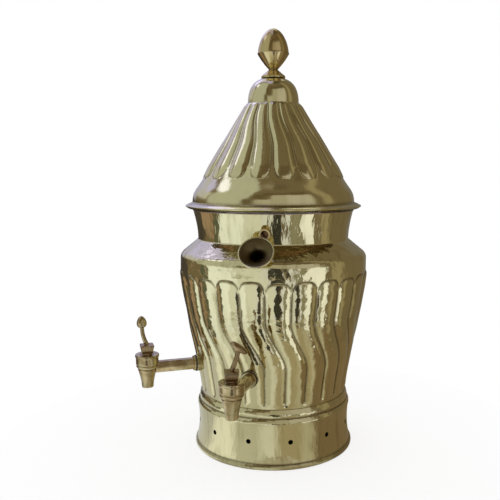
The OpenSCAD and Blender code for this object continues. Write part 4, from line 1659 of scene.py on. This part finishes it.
@dataclass
class Tap:
    """Plug tap: boss in the wall, sealing ring, hexagonal shank, tapered barrel, plug and lever.

    Lengths along the shank are distances from the urn's axis.
    """

    key: str
    plug_body: Body
    turn: float
    lever: Lever
    tap_r: float = 193.023
    tap_z: float = 130.0
    boss_ends: tuple = (103.023, 121.023)
    boss_r: float = 12.0
    pipe_r: float = 8.06
    spigot_r: float = 9.5
    spigot_l: float = 12.0
    seal_t: float = 1.5
    collar_r: float = 11.0
    collar_t: float = 3.0
    shank_af: float = 16.0
    barrel_r: float = 16.2
    flange_r: float = 17.2
    flange_t: float = 4.0
    barrel_z: float = 150.0
    taper_z: float = 135.0
    nozzle_z: float = 111.0
    mouth_z: float = 101.0
    taper_r: float = 9.4
    taper_hollow: float = 0.6
    nozzle_r: float = 8.4
    bore_r: float = 4.5
    groove_d: float = 0.8
    groove_step: float = 6.0
    groove_w: float = 0.9
    barrel_groove_dark_w: float = 0.7
    band_h: float = 0.5
    band_w: float = 1.8
    plug_z: float = 119.0
    plug_top_r: float = 9.6
    plug_end_r: float = 8.4
    fit_gap: float = 0.06
    head_z: float = 152.0
    head_w: float = 15.0
    head_top_w: float = 19.5
    head_h: float = 12.0
    head_power: float = 22.0
    hex_power: float = 40.0
    edge_round: float = 0.5
    boss_round: float = 0.8
    rim_round: float = 1.2
    step: float = 2.5
    shank_columns: int = 72
    shank_end: float = 0.7
    hex_foot: float = 0.94
    hex_edge: float = 0.6
    hex_lap: float = 0.3
    hex_columns: int = 120
    barrel_rows: tuple = (1.0, 3.0, 4.0)
    groove_rows: float = 0.6
    nozzle_in: float = 0.3
    nozzle_down: float = 2.0
    seat_d: float = 3.0
    floor_d: float = 2.0
    barrel_columns: int = 96
    neck_in: float = 0.6
    neck_lap: float = 0.4
    neck_step: float = 0.3
    plug_round: float = 0.4
    plug_step: float = 3.0
    plug_columns: int = 64
    head_rows: tuple = (0.0, 0.0, 0.5, 4.0, 8.0, 11.0, 11.7, 12.0, 12.0)
    head_shares: tuple = (0.0, 0.96, 1.0, 1.0, 1.0, 1.0, 0.97, 0.9, 0.0)
    head_columns: int = 96

    def build(self) -> None:
        """Make the tap's five pieces."""
        urn, plug = Body.URN, self.plug_body
        self.cast("boss", "ring", [self.boss_grid()], YELLOW_BRASS, urn, Slot.YELLOW_BRASS)
        self.cast("seal", "ring", [self.seal_grid()], RUBBER, urn, Slot.RUBBER)
        self.cast("body", "casting", self.body_grids(), BRONZE, urn, Slot.BRONZE)
        self.cast("plug", "head", self.plug_grids(), DULL_BRONZE, plug, Slot.BRONZE)
        grips = [self.barrel(grid, True) for grid in self.lever.grids(self.head_z + self.head_h)]
        self.cast("lever", "handle", grips, self.lever.finish, plug, Slot.BRONZE)

    def cast(self, piece: str, form: str, grids: list[Grid], finish: Finish, body: Body, slot: Slot) -> None:
        """Forge one piece of this tap, named for the node that it stands for."""
        node = f"{self.key}_tap_{piece}"
        forge(f"{node}_{form}", grids, finish, body, slot, [node])

    def along(self, grid: Grid) -> Grid:
        """Grid round Z moved onto the shank's axis."""
        return grid.stood((0, 0, self.tap_z), level(self.turn))

    def shank(self, outline: np.ndarray) -> Grid:
        """Outline of radius and distance from the urn's axis, turned round the shank's axis."""
        return self.along(Lathe(outline, self.shank_columns).grid())

    def barrel(self, grid: Grid, lever: bool = False) -> Grid:
        """Grid round Z moved onto the barrel's axis, turned with the lever where that is asked."""
        points = spin(grid.points, self.lever.turn if lever else 0.0) + np.array([0.0, -self.tap_r, 0.0])
        return grid.moved(spin(points, self.turn))

    def boss_grid(self) -> Grid:
        """Boss: a bored collar with a rounded outer edge.

        Returns:
            The boss in its place.
        """
        start, end = self.boss_ends
        inside, step = self.spigot_r + self.fit_gap, end - self.spigot_l
        outline = join(
            [(self.pipe_r, start), (self.boss_r, start), (self.boss_r, end)],
            [(inside, end), (inside, step), (self.pipe_r, step)],
        )
        return self.shank(divide(soften(outline, self.boss_round), self.step))

    def seal_grid(self) -> Grid:
        """Sealing ring: a flat ring with a rounded edge.

        Returns:
            The ring in its place.
        """
        start = self.boss_ends[1]
        end = start + self.seal_t
        inside = self.spigot_r + self.fit_gap
        outline = join([(inside, start), (self.boss_r, start), (self.boss_r, end), (inside, end)])
        return self.shank(soften(outline, self.edge_round))

    def body_grids(self) -> list[Grid]:
        """Casting: barrel, hexagonal shank, collar and spigot.

        Returns:
            The casting's parts in their places.
        """
        start = self.boss_ends[1] + self.seal_t
        end, tip = start + self.collar_t, start - self.spigot_l
        collar = join(
            [(self.bore_r, tip), (self.spigot_r, tip), (self.spigot_r, start)],
            [(self.collar_r, start), (self.collar_r, end), (self.bore_r, end)],
        )
        length = self.tap_r - self.barrel_r * self.shank_end - end
        sizes = np.array([0.0, self.hex_foot, 1.0, 1.0, 1.0, 0.0]) * self.shank_af / 2
        rows = np.array([0.0, 0.0, self.hex_edge, length / 2, length, length])
        heights = rows + end - self.hex_lap
        hexagon = self.along(prism(6, sizes, heights, self.hex_columns, self.hex_power))
        return [self.barrel_grid(), hexagon, self.shank(soften(collar, self.edge_round))]

    def barrel_grid(self) -> Grid:
        """Barrel: nozzle, hollow taper with turned grooves, flange and seat, turned round its axis.

        Returns:
            The barrel in its place, dark in its grooves.
        """
        pull = (self.taper_r + self.barrel_r) / 2 - 2 * self.taper_hollow
        middle = pull, (self.nozzle_z + self.taper_z) / 2
        taper = bezier([(self.taper_r, self.nozzle_z), middle, (self.barrel_r, self.taper_z)], 40)
        side = [(self.barrel_r, self.taper_z + up) for up in self.barrel_rows]
        face = divide(join(taper, side[:-1]), self.groove_rows, False)
        grooves = self.taper_z - self.groove_step * np.arange(2)
        dip = bell(face[:, 1:], grooves, self.groove_w).sum(axis=1)
        swell = bell(face[:, 1], grooves[1] + self.groove_step / 2, self.band_w)
        face[:, 0] += self.band_h * swell - self.groove_d * dip
        flange = self.barrel_z - self.flange_t
        seat = self.plug_top_r + self.fit_gap
        nozzle = join(
            [(self.bore_r, self.mouth_z), (self.nozzle_r, self.mouth_z)],
            [(self.taper_r - self.nozzle_in, self.nozzle_z - self.nozzle_down)],
        )
        top = join(
            [side[-1], (self.barrel_r, flange), (self.flange_r, flange)],
            [(self.flange_r, self.barrel_z), (seat, self.barrel_z)],
            [(seat, self.barrel_z - self.seat_d)],
        )
        floor = self.plug_z - self.floor_d
        inside = [(self.plug_end_r + self.fit_gap, floor), (self.bore_r, floor)]
        nozzle, top = soften(nozzle, self.boss_round, False), soften(top, self.rim_round, False)
        lathe = Lathe(divide(join(nozzle, face, top, inside), self.step), self.barrel_columns)
        # Darker along the turned grooves.
        barrel_groove_darkening = bell(lathe.outline[:, 1:], grooves, self.barrel_groove_dark_w).sum(axis=1)
        return self.barrel(lathe.grid(barrel_groove_darkening))

    def plug_grids(self) -> list[Grid]:
        """Plug: a tapered cone with a neck, and a square head that widens upwards with a rounded top.

        Returns:
            The cone and the head in their places.
        """
        neck, base = self.head_w / 2 - self.neck_in, self.head_z + self.neck_lap
        outline = join(
            [(0.0, self.plug_z), (self.plug_end_r, self.plug_z), (self.plug_top_r, self.barrel_z)],
            [(neck, self.barrel_z + self.neck_step), (neck, base), (0.0, base)],
        )
        outline = divide(soften(outline, self.plug_round, False), self.plug_step, False)
        cone = Lathe(outline, self.plug_columns, closed=False).grid()
        up = np.array(self.head_rows) / self.head_rows[-1]
        low, high = self.head_w / 2, self.head_top_w / 2
        sizes = (low + (high - low) * up) * np.array(self.head_shares)
        heights = up * self.head_h + self.head_z
        head = prism(4, sizes, heights, self.head_columns, self.head_power)
        return [self.barrel(cone, True), self.barrel(head, True)]


@dataclass
class Lid:
    """Lid: spun ring, tinned skirt, lobed cone, dome cap and finial."""

    wall: float = 1.5
    lid_z: float = 359.0
    ring_h: float = 44.0
    flange_r: float = 131.0
    flange_h: float = 9.0
    flange_edge: float = 1.5
    swell_r: float = 120.8
    swell_in: float = 1.0
    swell_draw: float = 16.5
    swell_pull: float = 0.6
    swell_round: float = 1.4
    ledge_w: float = 8.0
    skirt_z: float = 357.8
    skirt_r: float = 93.5
    skirt_h: float = 16.0
    skirt_in: float = 3.5
    cone_r: float = 104.5
    cone_h: float = 109.0
    cone_top_r: float = 39.3
    lobes: int = 18
    lobe_h: float = 4.0
    tongue_h: float = 18.0
    cone_turn: float = 16.8
    swirl: float = 9.0
    lobe_cols: int = 30
    strip: float = 0.16
    foot_rows: tuple = (24.0, 40)
    upper_rows: int = 60
    back_skip: int = 9
    flat: float = 2.4
    fade: float = 0.04
    # Darkening of the lines along the tongues' edges.
    line_w: tuple = (0.10, 0.12)
    line_darkening: float = 0.8
    swirl_span: tuple = (0.4, 0.9)
    edge_error: float = 0.6
    end_error: float = 0.05
    groove_d: float = 0.5
    cap_r: float = 37.7
    cap_h: float = 37.0
    cap_lap: float = 6.0
    cap_round: float = 3.0
    cap_flat_r: float = 12.0
    stud_r: float = 3.06
    finial_flange_r: float = 17.7
    finial_flange_t: float = 3.0
    finial_neck_z: float = 12.5
    finial_neck_r: float = 6.4
    finial_ridge_z: float = 35.0
    finial_ridge_r: float = 23.4
    finial_ridge_t: float = 2.0
    finial_h: float = 71.0
    bowl_pull: tuple = (0.7, 0.65)
    crown_share: float = 0.97
    bud_pulls: tuple = ((0.9, 0.77), (0.5, 1.0))
    ring_hand: float = 0.2
    cone_hand: float = 0.3
    cap_hand: float = 0.12
    step: float = 2.0
    ring_columns: int = 240
    cap_columns: int = 144
    skirt_round: float = 0.4
    skirt_step: float = 4.0
    skirt_columns: int = 160
    finial_round: float = 0.5
    finial_columns: int = 96
    # Painted shade under the lid ring's flange, and darkening of the ring's crease and the finial's neck and
    # ridge.
    under_flange_shade: float = 1.1
    ring_crease_darkening: float = 0.6
    crease_w: float = 2.5
    neck_darkening: float = 0.6
    neck_w: float = 2.5
    ridge_darkening: float = 0.3
    ridge_w: float = 1.2
    seed: int = 18
    line_slope: float = 4.0
    line_widens: tuple = (0.8, 1.4)
    line_starts: tuple = (0.0, 0.2)

    def build(self) -> None:
        """Make the lid's pieces and dress its fastenings."""
        forge("lid_ring_spinning", [self.ring_grid()], SPUN_BRASS, Body.LID, Slot.BRASS, ["lid_ring"])
        forge("lid_skirt_sleeve", [self.skirt_grid()], TIN, Body.LID, Slot.TIN, ["lid_skirt"])
        forge("lid_cone_lobes", [self.cone_grid()], SPUN_BRASS, Body.LID, Slot.BRASS, ["lid_cone"], 60.0)
        forge("lid_cap_dome", [self.cap_grid()], SPUN_BRASS, Body.LID, Slot.BRASS, ["lid_cap"])
        forge("finial_turning", [self.finial_grid()], TURNED_BRASS, Body.LID, Slot.BRASS, ["finial"])
        for node in ("finial_stud", "finial_washer", "finial_nut"):
            dress(node, TURNED_BRASS)

    def cone_z(self) -> float:
        """Height of the cone's foot."""
        return self.lid_z + self.ring_h

    def ring_grid(self) -> Grid:
        """Lid ring: flange with a thin edge, swelling side that runs into the cone, and inner ledge.

        Returns:
            The ring, with painted shade under its flange and darker in its crease.
        """
        z, edge = self.lid_z, self.flange_edge
        slope = (self.cone_r - self.cone_top_r) / self.cone_h
        flange = [
            (self.cone_r, z),
            (self.flange_r - 3 * edge, z),
            (self.flange_r, z + 2 * edge),
            (self.flange_r, z + 3 * edge),
            (self.swell_r + 3 * edge, z + self.flange_h - edge),
        ]
        draw = self.cone_r + slope * self.swell_draw, self.cone_z() - self.swell_draw
        pull = self.swell_r - self.swell_in, z + self.ring_h * self.swell_pull
        swell = bezier([(self.swell_r, z + self.flange_h), pull, draw, (self.cone_r, self.cone_z())], 24)
        ledge = [(self.cone_r - self.ledge_w, self.cone_z())]
        face = join(soften(join(flange, swell), self.swell_round, False), ledge)
        lathe = Lathe(sheet(divide(face, self.step, False), self.wall), self.ring_columns)
        height = lathe.outline[:, 1]
        # Painted shade under the flange's edge; the crease between flange and swell is darker too.
        under = 1.0 - ease(z + edge, z + 2 * edge, height)
        crease = bell(height, z + self.flange_h, self.crease_w)
        wear_and_shade = self.under_flange_shade * under + self.ring_crease_darkening * crease
        return lathe.grid(wear_and_shade).rippled(self.ring_hand)

    def skirt_grid(self) -> Grid:
        """Skirt: an upright sleeve under a level flange, turned round the axis.

        Returns:
            The skirt.
        """
        low, inside = self.skirt_z - self.skirt_h, self.skirt_r - self.wall
        reach = self.swell_r - self.skirt_in
        outline = join(
            [(inside, low), (self.skirt_r, low), (self.skirt_r, self.skirt_z)],
            [(reach, self.skirt_z), (reach, self.lid_z), (inside, self.lid_z)],
        )
        outline = divide(soften(outline, self.skirt_round), self.skirt_step)
        return Lathe(outline, self.skirt_columns).grid()

    def cone_grid(self) -> Grid:
        """Lobed cone: tongues with rounded lower ends and a flat strip between each two.

        Across a tongue v goes from 0 at one edge to 1 at the other, and stays there over the strip. The
        radius is the straight cone's plus the lobe's height, scaled with the cone, times the bulge
        1 - |2v - 1|^2.4 times the arch of the rounded end, less a groove along the tongue's edge. The edge
        is where the root of the bulge equals 1 - s, kept above 0, with s the height over that of the
        rounded end. Each tongue has small errors.

        Returns:
            The cone, face and back.
        """
        draw = np.random.default_rng(self.seed)
        errors = draw.uniform(-1.0, 1.0, (2, self.lobes))
        rise = levels(0.0, (self.foot_rows, (self.cone_h, self.upper_rows)))
        up = rise / self.cone_h
        u = (np.arange(self.lobe_cols) / self.lobe_cols)[None, None]
        half = self.strip / 2
        v = np.clip((u - half) / (1.0 - self.strip), 0.0, 1.0)
        bulge = 1.0 - np.abs(2.0 * v - 1.0) ** self.flat
        s = rise / self.tongue_h + self.end_error * errors[1][None, :, None]
        fade = ease(0.0, self.fade, 1.0 - up)
        off = np.minimum(np.abs(u - half), np.abs(u - 1.0 + half))
        root = np.where(bulge > 0.0, np.sqrt(bulge), -self.line_slope * off)
        inside = root - np.maximum(0.0, 1.0 - s)
        width = self.line_w[0] + self.line_w[1] * ease(*self.line_widens, s)
        line = bell(inside, 0.0, width) * fade * ease(*self.line_starts, s)
        radius = self.cone_r + (self.cone_top_r - self.cone_r) * up
        lobe = fade * self.lobe_h * radius / self.cone_r * bulge * arch(bulge, s)
        start = self.cone_turn - 180.0 / self.lobes * self.strip
        turn = start - self.swirl * ease(*self.swirl_span, up) + fan(u, self.edge_error * errors[0])
        face = polar(radius + lobe - self.groove_d * line, turn, rise + self.cone_z())
        # The lines along the tongues' edges are darker.
        return lobed_sheet(face, self.line_darkening * line, self.wall, self.cone_hand, self.back_skip)

    def cap_grid(self) -> Grid:
        """Dome cap: a short lap, a dome and a flat top with the stud's hole, turned round the axis.

        Returns:
            The cap.
        """
        foot = self.cone_z() + self.cone_h
        top = foot + self.cap_h
        dome = bezier([(self.cap_r, foot), (self.cap_r, top - self.cap_round), (self.cap_flat_r, top)], 26)
        face = join([(self.cap_r, foot - self.cap_lap)], dome, [(self.stud_r, top)])
        lathe = Lathe(sheet(divide(face, self.step, False), self.wall), self.cap_columns)
        return lathe.grid().rippled(self.cap_hand)

    def finial_grid(self) -> Grid:
        """Finial: flange, thin neck, bowl up to a ridge and a pointed bud, turned round the axis.

        Returns:
            The finial, dark at its neck and ridge.
        """
        foot = self.cone_z() + self.cone_h + self.cap_h
        ridge, top = foot + self.finial_ridge_z, foot + self.finial_h
        neck = foot + self.finial_neck_z
        wide = self.finial_ridge_r
        pull = wide * self.bowl_pull[0], foot + self.finial_ridge_z * self.bowl_pull[1]
        bowl = bezier([(self.finial_neck_r, neck), pull, (wide, ridge)], 16)
        crown = wide * self.crown_share, ridge + self.finial_ridge_t
        pulls = [(wide * out, foot + self.finial_h * up) for out, up in self.bud_pulls]
        bud = bezier([crown, *pulls, (0.0, top)], 24)
        rim = [(0.0, foot), (self.finial_flange_r, foot), (self.finial_flange_r, foot + self.finial_flange_t)]
        outline = divide(soften(join(rim, bowl, bud), self.finial_round, False), self.step, False)
        height = outline[:, 1]
        wear_and_shade = self.neck_darkening * bell(height, neck, self.neck_w)
        wear_and_shade += self.ridge_darkening * bell(height, ridge, self.ridge_w)
        return Lathe(outline, self.finial_columns, closed=False).grid(wear_and_shade)


@dataclass
class Burner:
    """Spirit burner on its bracket under the jacket's floor: the frame's own nodes with their finishes."""

    finishes: tuple = (
        ("burner_bracket", STEEL),
        ("burner_rivets", STEEL),
        ("burner_screw", STEEL),
        ("burner_fuel_cup", TURNED_BRASS),
        ("burner_cap", TURNED_BRASS),
        ("burner_wick", COTTON),
    )

    def build(self) -> None:
        """Dress the burner's nodes."""
        for node, finish in self.finishes:
            dress(node, finish)


# Studio


@dataclass(frozen=True)
class Panel:
    """A pale or dark panel of the studio that the metal mirrors.

    Attributes:
        azimuths: Its left and right edge, in degrees from the camera's side towards the right.
        elevations: Its lower and upper edge, in degrees above level.
        colour: Its colour.
        soft: Half the width of its fading edges, in degrees.
    """

    azimuths: tuple
    elevations: tuple
    colour: tuple
    soft: float = 3.0

    def share(self, azimuth: Wire, elevation: Wire) -> Wire:
        """How much of the panel shows in a direction: a product of smooth steps at its edges.

        Args:
            azimuth: The direction's azimuth, in degrees.
            elevation: Its elevation, in degrees.

        Returns:
            The share, from 0 to 1.
        """
        left, right = (azimuth.ease(edge - self.soft, edge + self.soft) for edge in self.azimuths)
        low, high = (elevation.ease(edge - self.soft, edge + self.soft) for edge in self.elevations)
        return (left - right) * (low - high)


STUDIO_PANELS = (
    Panel((-200, -145), (-90, 60), (0.40, 0.41, 0.52), 8.0),
    Panel((145, 200), (-90, 60), (0.20, 0.18, 0.15), 8.0),
    Panel((-160, -108), (8, 30), (0.58, 0.60, 0.60), 5.0),
    Panel((-200, -119), (16, 75), (0.60, 0.60, 1.08), 4.0),
    Panel((-144, -117), (12, 26), (0.54, 0.55, 0.66), 4.0),
    Panel((-200, -150), (48, 66), (0.90, 0.90, 0.82), 4.0),
    Panel((150, 200), (48, 66), (0.90, 0.90, 0.82), 4.0),
    Panel((-200, -145), (1, 17), (0.48, 0.48, 0.66), 4.0),
    Panel((-200, -128), (-90, 1), (0.07, 0.06, 0.05), 2.0),
    Panel((-126, -104), (-90, -12), (0.36, 0.26, 0.19), 2.0),
    Panel((-99, -91), (-90, 4), (0.10, 0.12, 0.09), 2.0),
    Panel((-105, -36), (-3, 70), (0.50, 0.53, 0.49), 4.0),
    Panel((-40, -2), (-3, 20), (0.46, 0.45, 0.40), 4.0),
    Panel((-4, 62), (-3, 50), (0.42, 0.40, 0.34), 4.0),
    Panel((22, 58), (-3, 50), (0.50, 0.48, 0.45), 4.0),
    Panel((-114, -94), (38, 50), (1.20, 1.28, 1.75), 3.0),
    Panel((-44, -28), (4, 22), (0.15, 0.12, 0.07), 5.0),
    Panel((-34, -12), (20, 46), (0.14, 0.11, 0.06), 5.0),
    Panel((-20, 64), (43, 56), (0.13, 0.10, 0.06), 4.0),
    Panel((76, 92), (-90, 70), (0.33, 0.29, 0.19), 5.0),
    Panel((-86, -45), (-90, -3), (0.90, 0.99, 1.10), 3.0),
    Panel((-48, -5), (-90, -3), (0.72, 0.77, 0.78), 4.0),
    Panel((-14, -5), (-90, -3), (0.71, 0.75, 0.85), 2.0),
    Panel((-4, 12), (-90, -3), (0.04, 0.04, 0.035), 1.5),
    Panel((17, 26), (-90, -3), (0.75, 0.80, 0.95), 1.5),
    Panel((27, 39), (-90, -3), (0.28, 0.27, 0.20), 2.0),
    Panel((42, 65), (-90, -3), (0.97, 1.02, 1.13), 2.0),
    Panel((-200, 0), (70, 100), (0.36, 0.33, 0.27), 6.0),
    Panel((-200, -20), (73, 100), (0.50, 0.50, 0.95), 4.0),
    Panel((0, 200), (70, 100), (0.10, 0.08, 0.05), 6.0),
)


@dataclass
class Studio:
    """White ground, the panels that the brass mirrors, one soft lamp and the camera.

    Azimuths are in degrees from the camera's side, towards the right of the picture.
    """

    camera_turn: float = 15.8
    camera_reach: float = 0.980
    camera_height: float = 0.413
    camera_pitch: float = 6.88
    lens: float = 46.8
    sensor: float = 36.0
    shift: float = -0.0466
    even_light: float = 0.55
    unlit: tuple = (0.18, 0.145, 0.09)
    table_r: float = 0.42
    table_drop: float = 0.0003
    table_albedo: float = 0.5
    table_glow: float = 0.72
    # Painted shade: the table is black under the urn's foot, out to this radius.
    foot_r: float = 0.112
    foot_soft: float = 0.004
    # Painted light and shade on the table as the brass mirrors it: a base, then a tone from each azimuth on,
    # pale on the lit left and tan to brown in the urn's shade on the right.
    table_painted_light_base: tuple = (0.56, 0.58, 0.60)
    table_painted_light_and_shade: tuple = (
        (-74, (0.85, 0.89, 0.91)),
        (-44, (0.52, 0.53, 0.49)),
        (-14, (0.68, 0.70, 0.69)),
        (4, (0.38, 0.34, 0.24)),
        (30, (0.46, 0.44, 0.36)),
        (46, (0.20, 0.15, 0.09)),
    )
    tone_soft: float = 6.0
    lamp_azimuth: float = -142.0
    lamp_elevation: float = 46.0
    lamp_reach: float = 2.2
    lamp_aim: float = 0.3
    lamp_size: float = 0.7
    lamp_watts: float = 1.5
    lamp_colour: tuple = (0.52, 0.53, 1.0)

    def build(self) -> None:
        """Set up the camera, the room, the floor and the lamp."""
        bpy.context.scene.view_settings.view_transform = "Standard"
        self.add_camera()
        self.add_room()
        self.add_floor()
        self.add_lamp()

    def way(self, azimuth: float, elevation: float) -> np.ndarray:
        """Direction at an azimuth and an elevation."""
        flat = math.cos(math.radians(elevation))
        return polar(flat, self.camera_turn + azimuth, math.sin(math.radians(elevation)))

    def add_camera(self) -> None:
        """Camera at the photograph's viewing angle."""
        data = bpy.data.cameras.new("camera")
        data.lens = self.lens
        data.sensor_width = self.sensor
        data.shift_x = self.shift
        data.clip_start = 0.01
        camera = show("camera", data)
        camera.location = polar(self.camera_reach, self.camera_turn, self.camera_height)
        camera.rotation_euler = (math.radians(90.0 - self.camera_pitch), 0.0, math.radians(self.camera_turn))
        bpy.context.scene.camera = camera

    def azimuth(self, parts: list[Wire]) -> Wire:
        """Azimuth of a direction in degrees, from its X and Y.

        Args:
            parts: The direction's X, Y and Z.

        Returns:
            The azimuth.
        """
        side, depth = math.sin(math.radians(self.camera_turn)), math.cos(math.radians(self.camera_turn))
        ahead = parts[0] * side - parts[1] * depth
        right = parts[0] * depth + parts[1] * side
        return right.math("ARCTAN2", right, ahead) * math.degrees(1.0)

    @staticmethod
    def mirrored_rays(board: Board) -> Wire:
        """1 for a ray that metal or glass sends out, 0 for any other."""
        glossy = board.ray("Is Glossy Ray")
        return glossy.math("MAXIMUM", glossy, board.ray("Is Transmission Ray"))

    def add_room(self) -> None:
        """World: white for the camera, the panels for what mirrors, an even light for everything else."""
        world = bpy.data.worlds.new("studio")
        world.use_nodes = True
        world.cycles.sampling_method = "NONE"
        bpy.context.scene.world = world
        board = Board(world.node_tree)
        parts = board.parts(board.node("ShaderNodeTexCoord", output="Generated"))
        azimuth = self.azimuth(parts)
        elevation = parts[2].math("ARCSINE", parts[2]) * math.degrees(1.0)
        panels: Wire | tuple = self.unlit
        for panel in STUDIO_PANELS:
            panels = board.mix(panel.share(azimuth, elevation), panels, panel.colour)
        light = board.mix(self.mirrored_rays(board), (self.even_light,) * 3, panels)
        ground = board.mix(board.ray("Is Camera Ray"), light, (1.0, 1.0, 1.0))
        shine = board.node("ShaderNodeBackground", {}, {"Color": ground, "Strength": 1.0})
        board.node("ShaderNodeOutputWorld", {}, {"Surface": shine})

    def add_floor(self) -> None:
        """Round table top, facing up, just under the urn's foot."""
        rings = np.linspace(0.0, self.table_r / MM, 24)[:, None]
        turns = np.linspace(0.0, 360.0, 96, endpoint=False)[None]
        grid = Grid(polar(rings, turns, np.full_like(rings, -self.table_drop / MM))[::-1])
        mesh = weld("table_top", [grid])
        mesh.materials.append(self.table_material())
        show("table_top", mesh)

    def table_material(self) -> bpy.types.Material:
        """Table top: white with the urn's soft shadow for the camera; for what mirrors it, painted light and
        shade, pale on the left and tan to brown on the right.

        Under the urn's foot it is black, painted shade, so that the vents show the dark inside of the base.

        Returns:
            The material.
        """
        material = bpy.data.materials.new("table_top")
        material.use_nodes = True
        material.cycles.emission_sampling = "NONE"
        board = Board(material.node_tree)
        parts = board.parts(board.place())
        azimuth = self.azimuth(parts)
        reach = (parts[0] * parts[0] + parts[1] * parts[1]) ** 0.5
        open_air = reach.ease(self.foot_r - self.foot_soft, self.foot_r + self.foot_soft)
        # Painted light and shade by azimuth round the urn, for what mirrors the table.
        tone: Wire | tuple = self.table_painted_light_base
        for edge, colour in self.table_painted_light_and_shade:
            tone = board.mix(azimuth.ease(edge - self.tone_soft, edge + self.tone_soft), tone, colour)
        # Painted shade: black under the urn's foot, in the mirrored tone and in the camera's glow.
        black = 0.0, 0.0, 0.0
        table = board.node("ShaderNodeEmission", {}, {"Color": board.mix(open_air, black, tone)})
        glow = board.mix(open_air, black, (self.table_glow,) * 3)
        white = board.node("ShaderNodeEmission", {}, {"Color": glow})
        cloth = board.node("ShaderNodeBsdfDiffuse", {}, {"Color": (*(self.table_albedo,) * 3, 1.0)})
        lit = board.node("ShaderNodeAddShader", {}, {0: white, 1: cloth})
        plain = board.node("ShaderNodeMixShader", {}, {0: board.ray("Is Camera Ray"), 1: cloth, 2: lit})
        surface = board.node("ShaderNodeMixShader", {}, {0: self.mirrored_rays(board), 1: plain, 2: table})
        board.node("ShaderNodeOutputMaterial", {}, {"Surface": surface})
        return material

    def add_lamp(self) -> None:
        """Soft square lamp, up and behind on the left."""
        data = bpy.data.lights.new("soft_lamp", "AREA")
        data.shape = "SQUARE"
        data.size = self.lamp_size
        data.energy = self.lamp_watts
        data.color = self.lamp_colour
        lamp = show("soft_lamp", data)
        aim = np.array([0, 0, self.lamp_aim])
        lamp.location = self.way(self.lamp_azimuth, self.lamp_elevation) * self.lamp_reach + aim
        lean, turn = 90.0 - self.lamp_elevation, self.camera_turn + self.lamp_azimuth
        lamp.rotation_euler = (math.radians(lean), 0.0, math.radians(turn))


def main() -> None:
    """Build the urn's sub-assemblies and the studio in order."""
    logging.basicConfig(level=logging.INFO, format="%(message)s")
    assemblies: list = [
        Pedestal(),
        Belly(),
        Shoulder(),
        Vessel(),
        Tap("salep", Body.SALEP_PLUG, 0.0, LeafLever(110.0, 18.0, 31.0, 0.3, finish=DULL_BRONZE)),
        Tap("water", Body.WATER_PLUG, -56.0, BudLever(0.0, 14.0, 26.5, 0.8)),
        Lid(),
        Burner(),
        Studio(),
    ]
    for assembly in assemblies:
        LOG.info("%s", type(assembly).__name__)
        assembly.build()


if __name__ == "__main__":
    main()
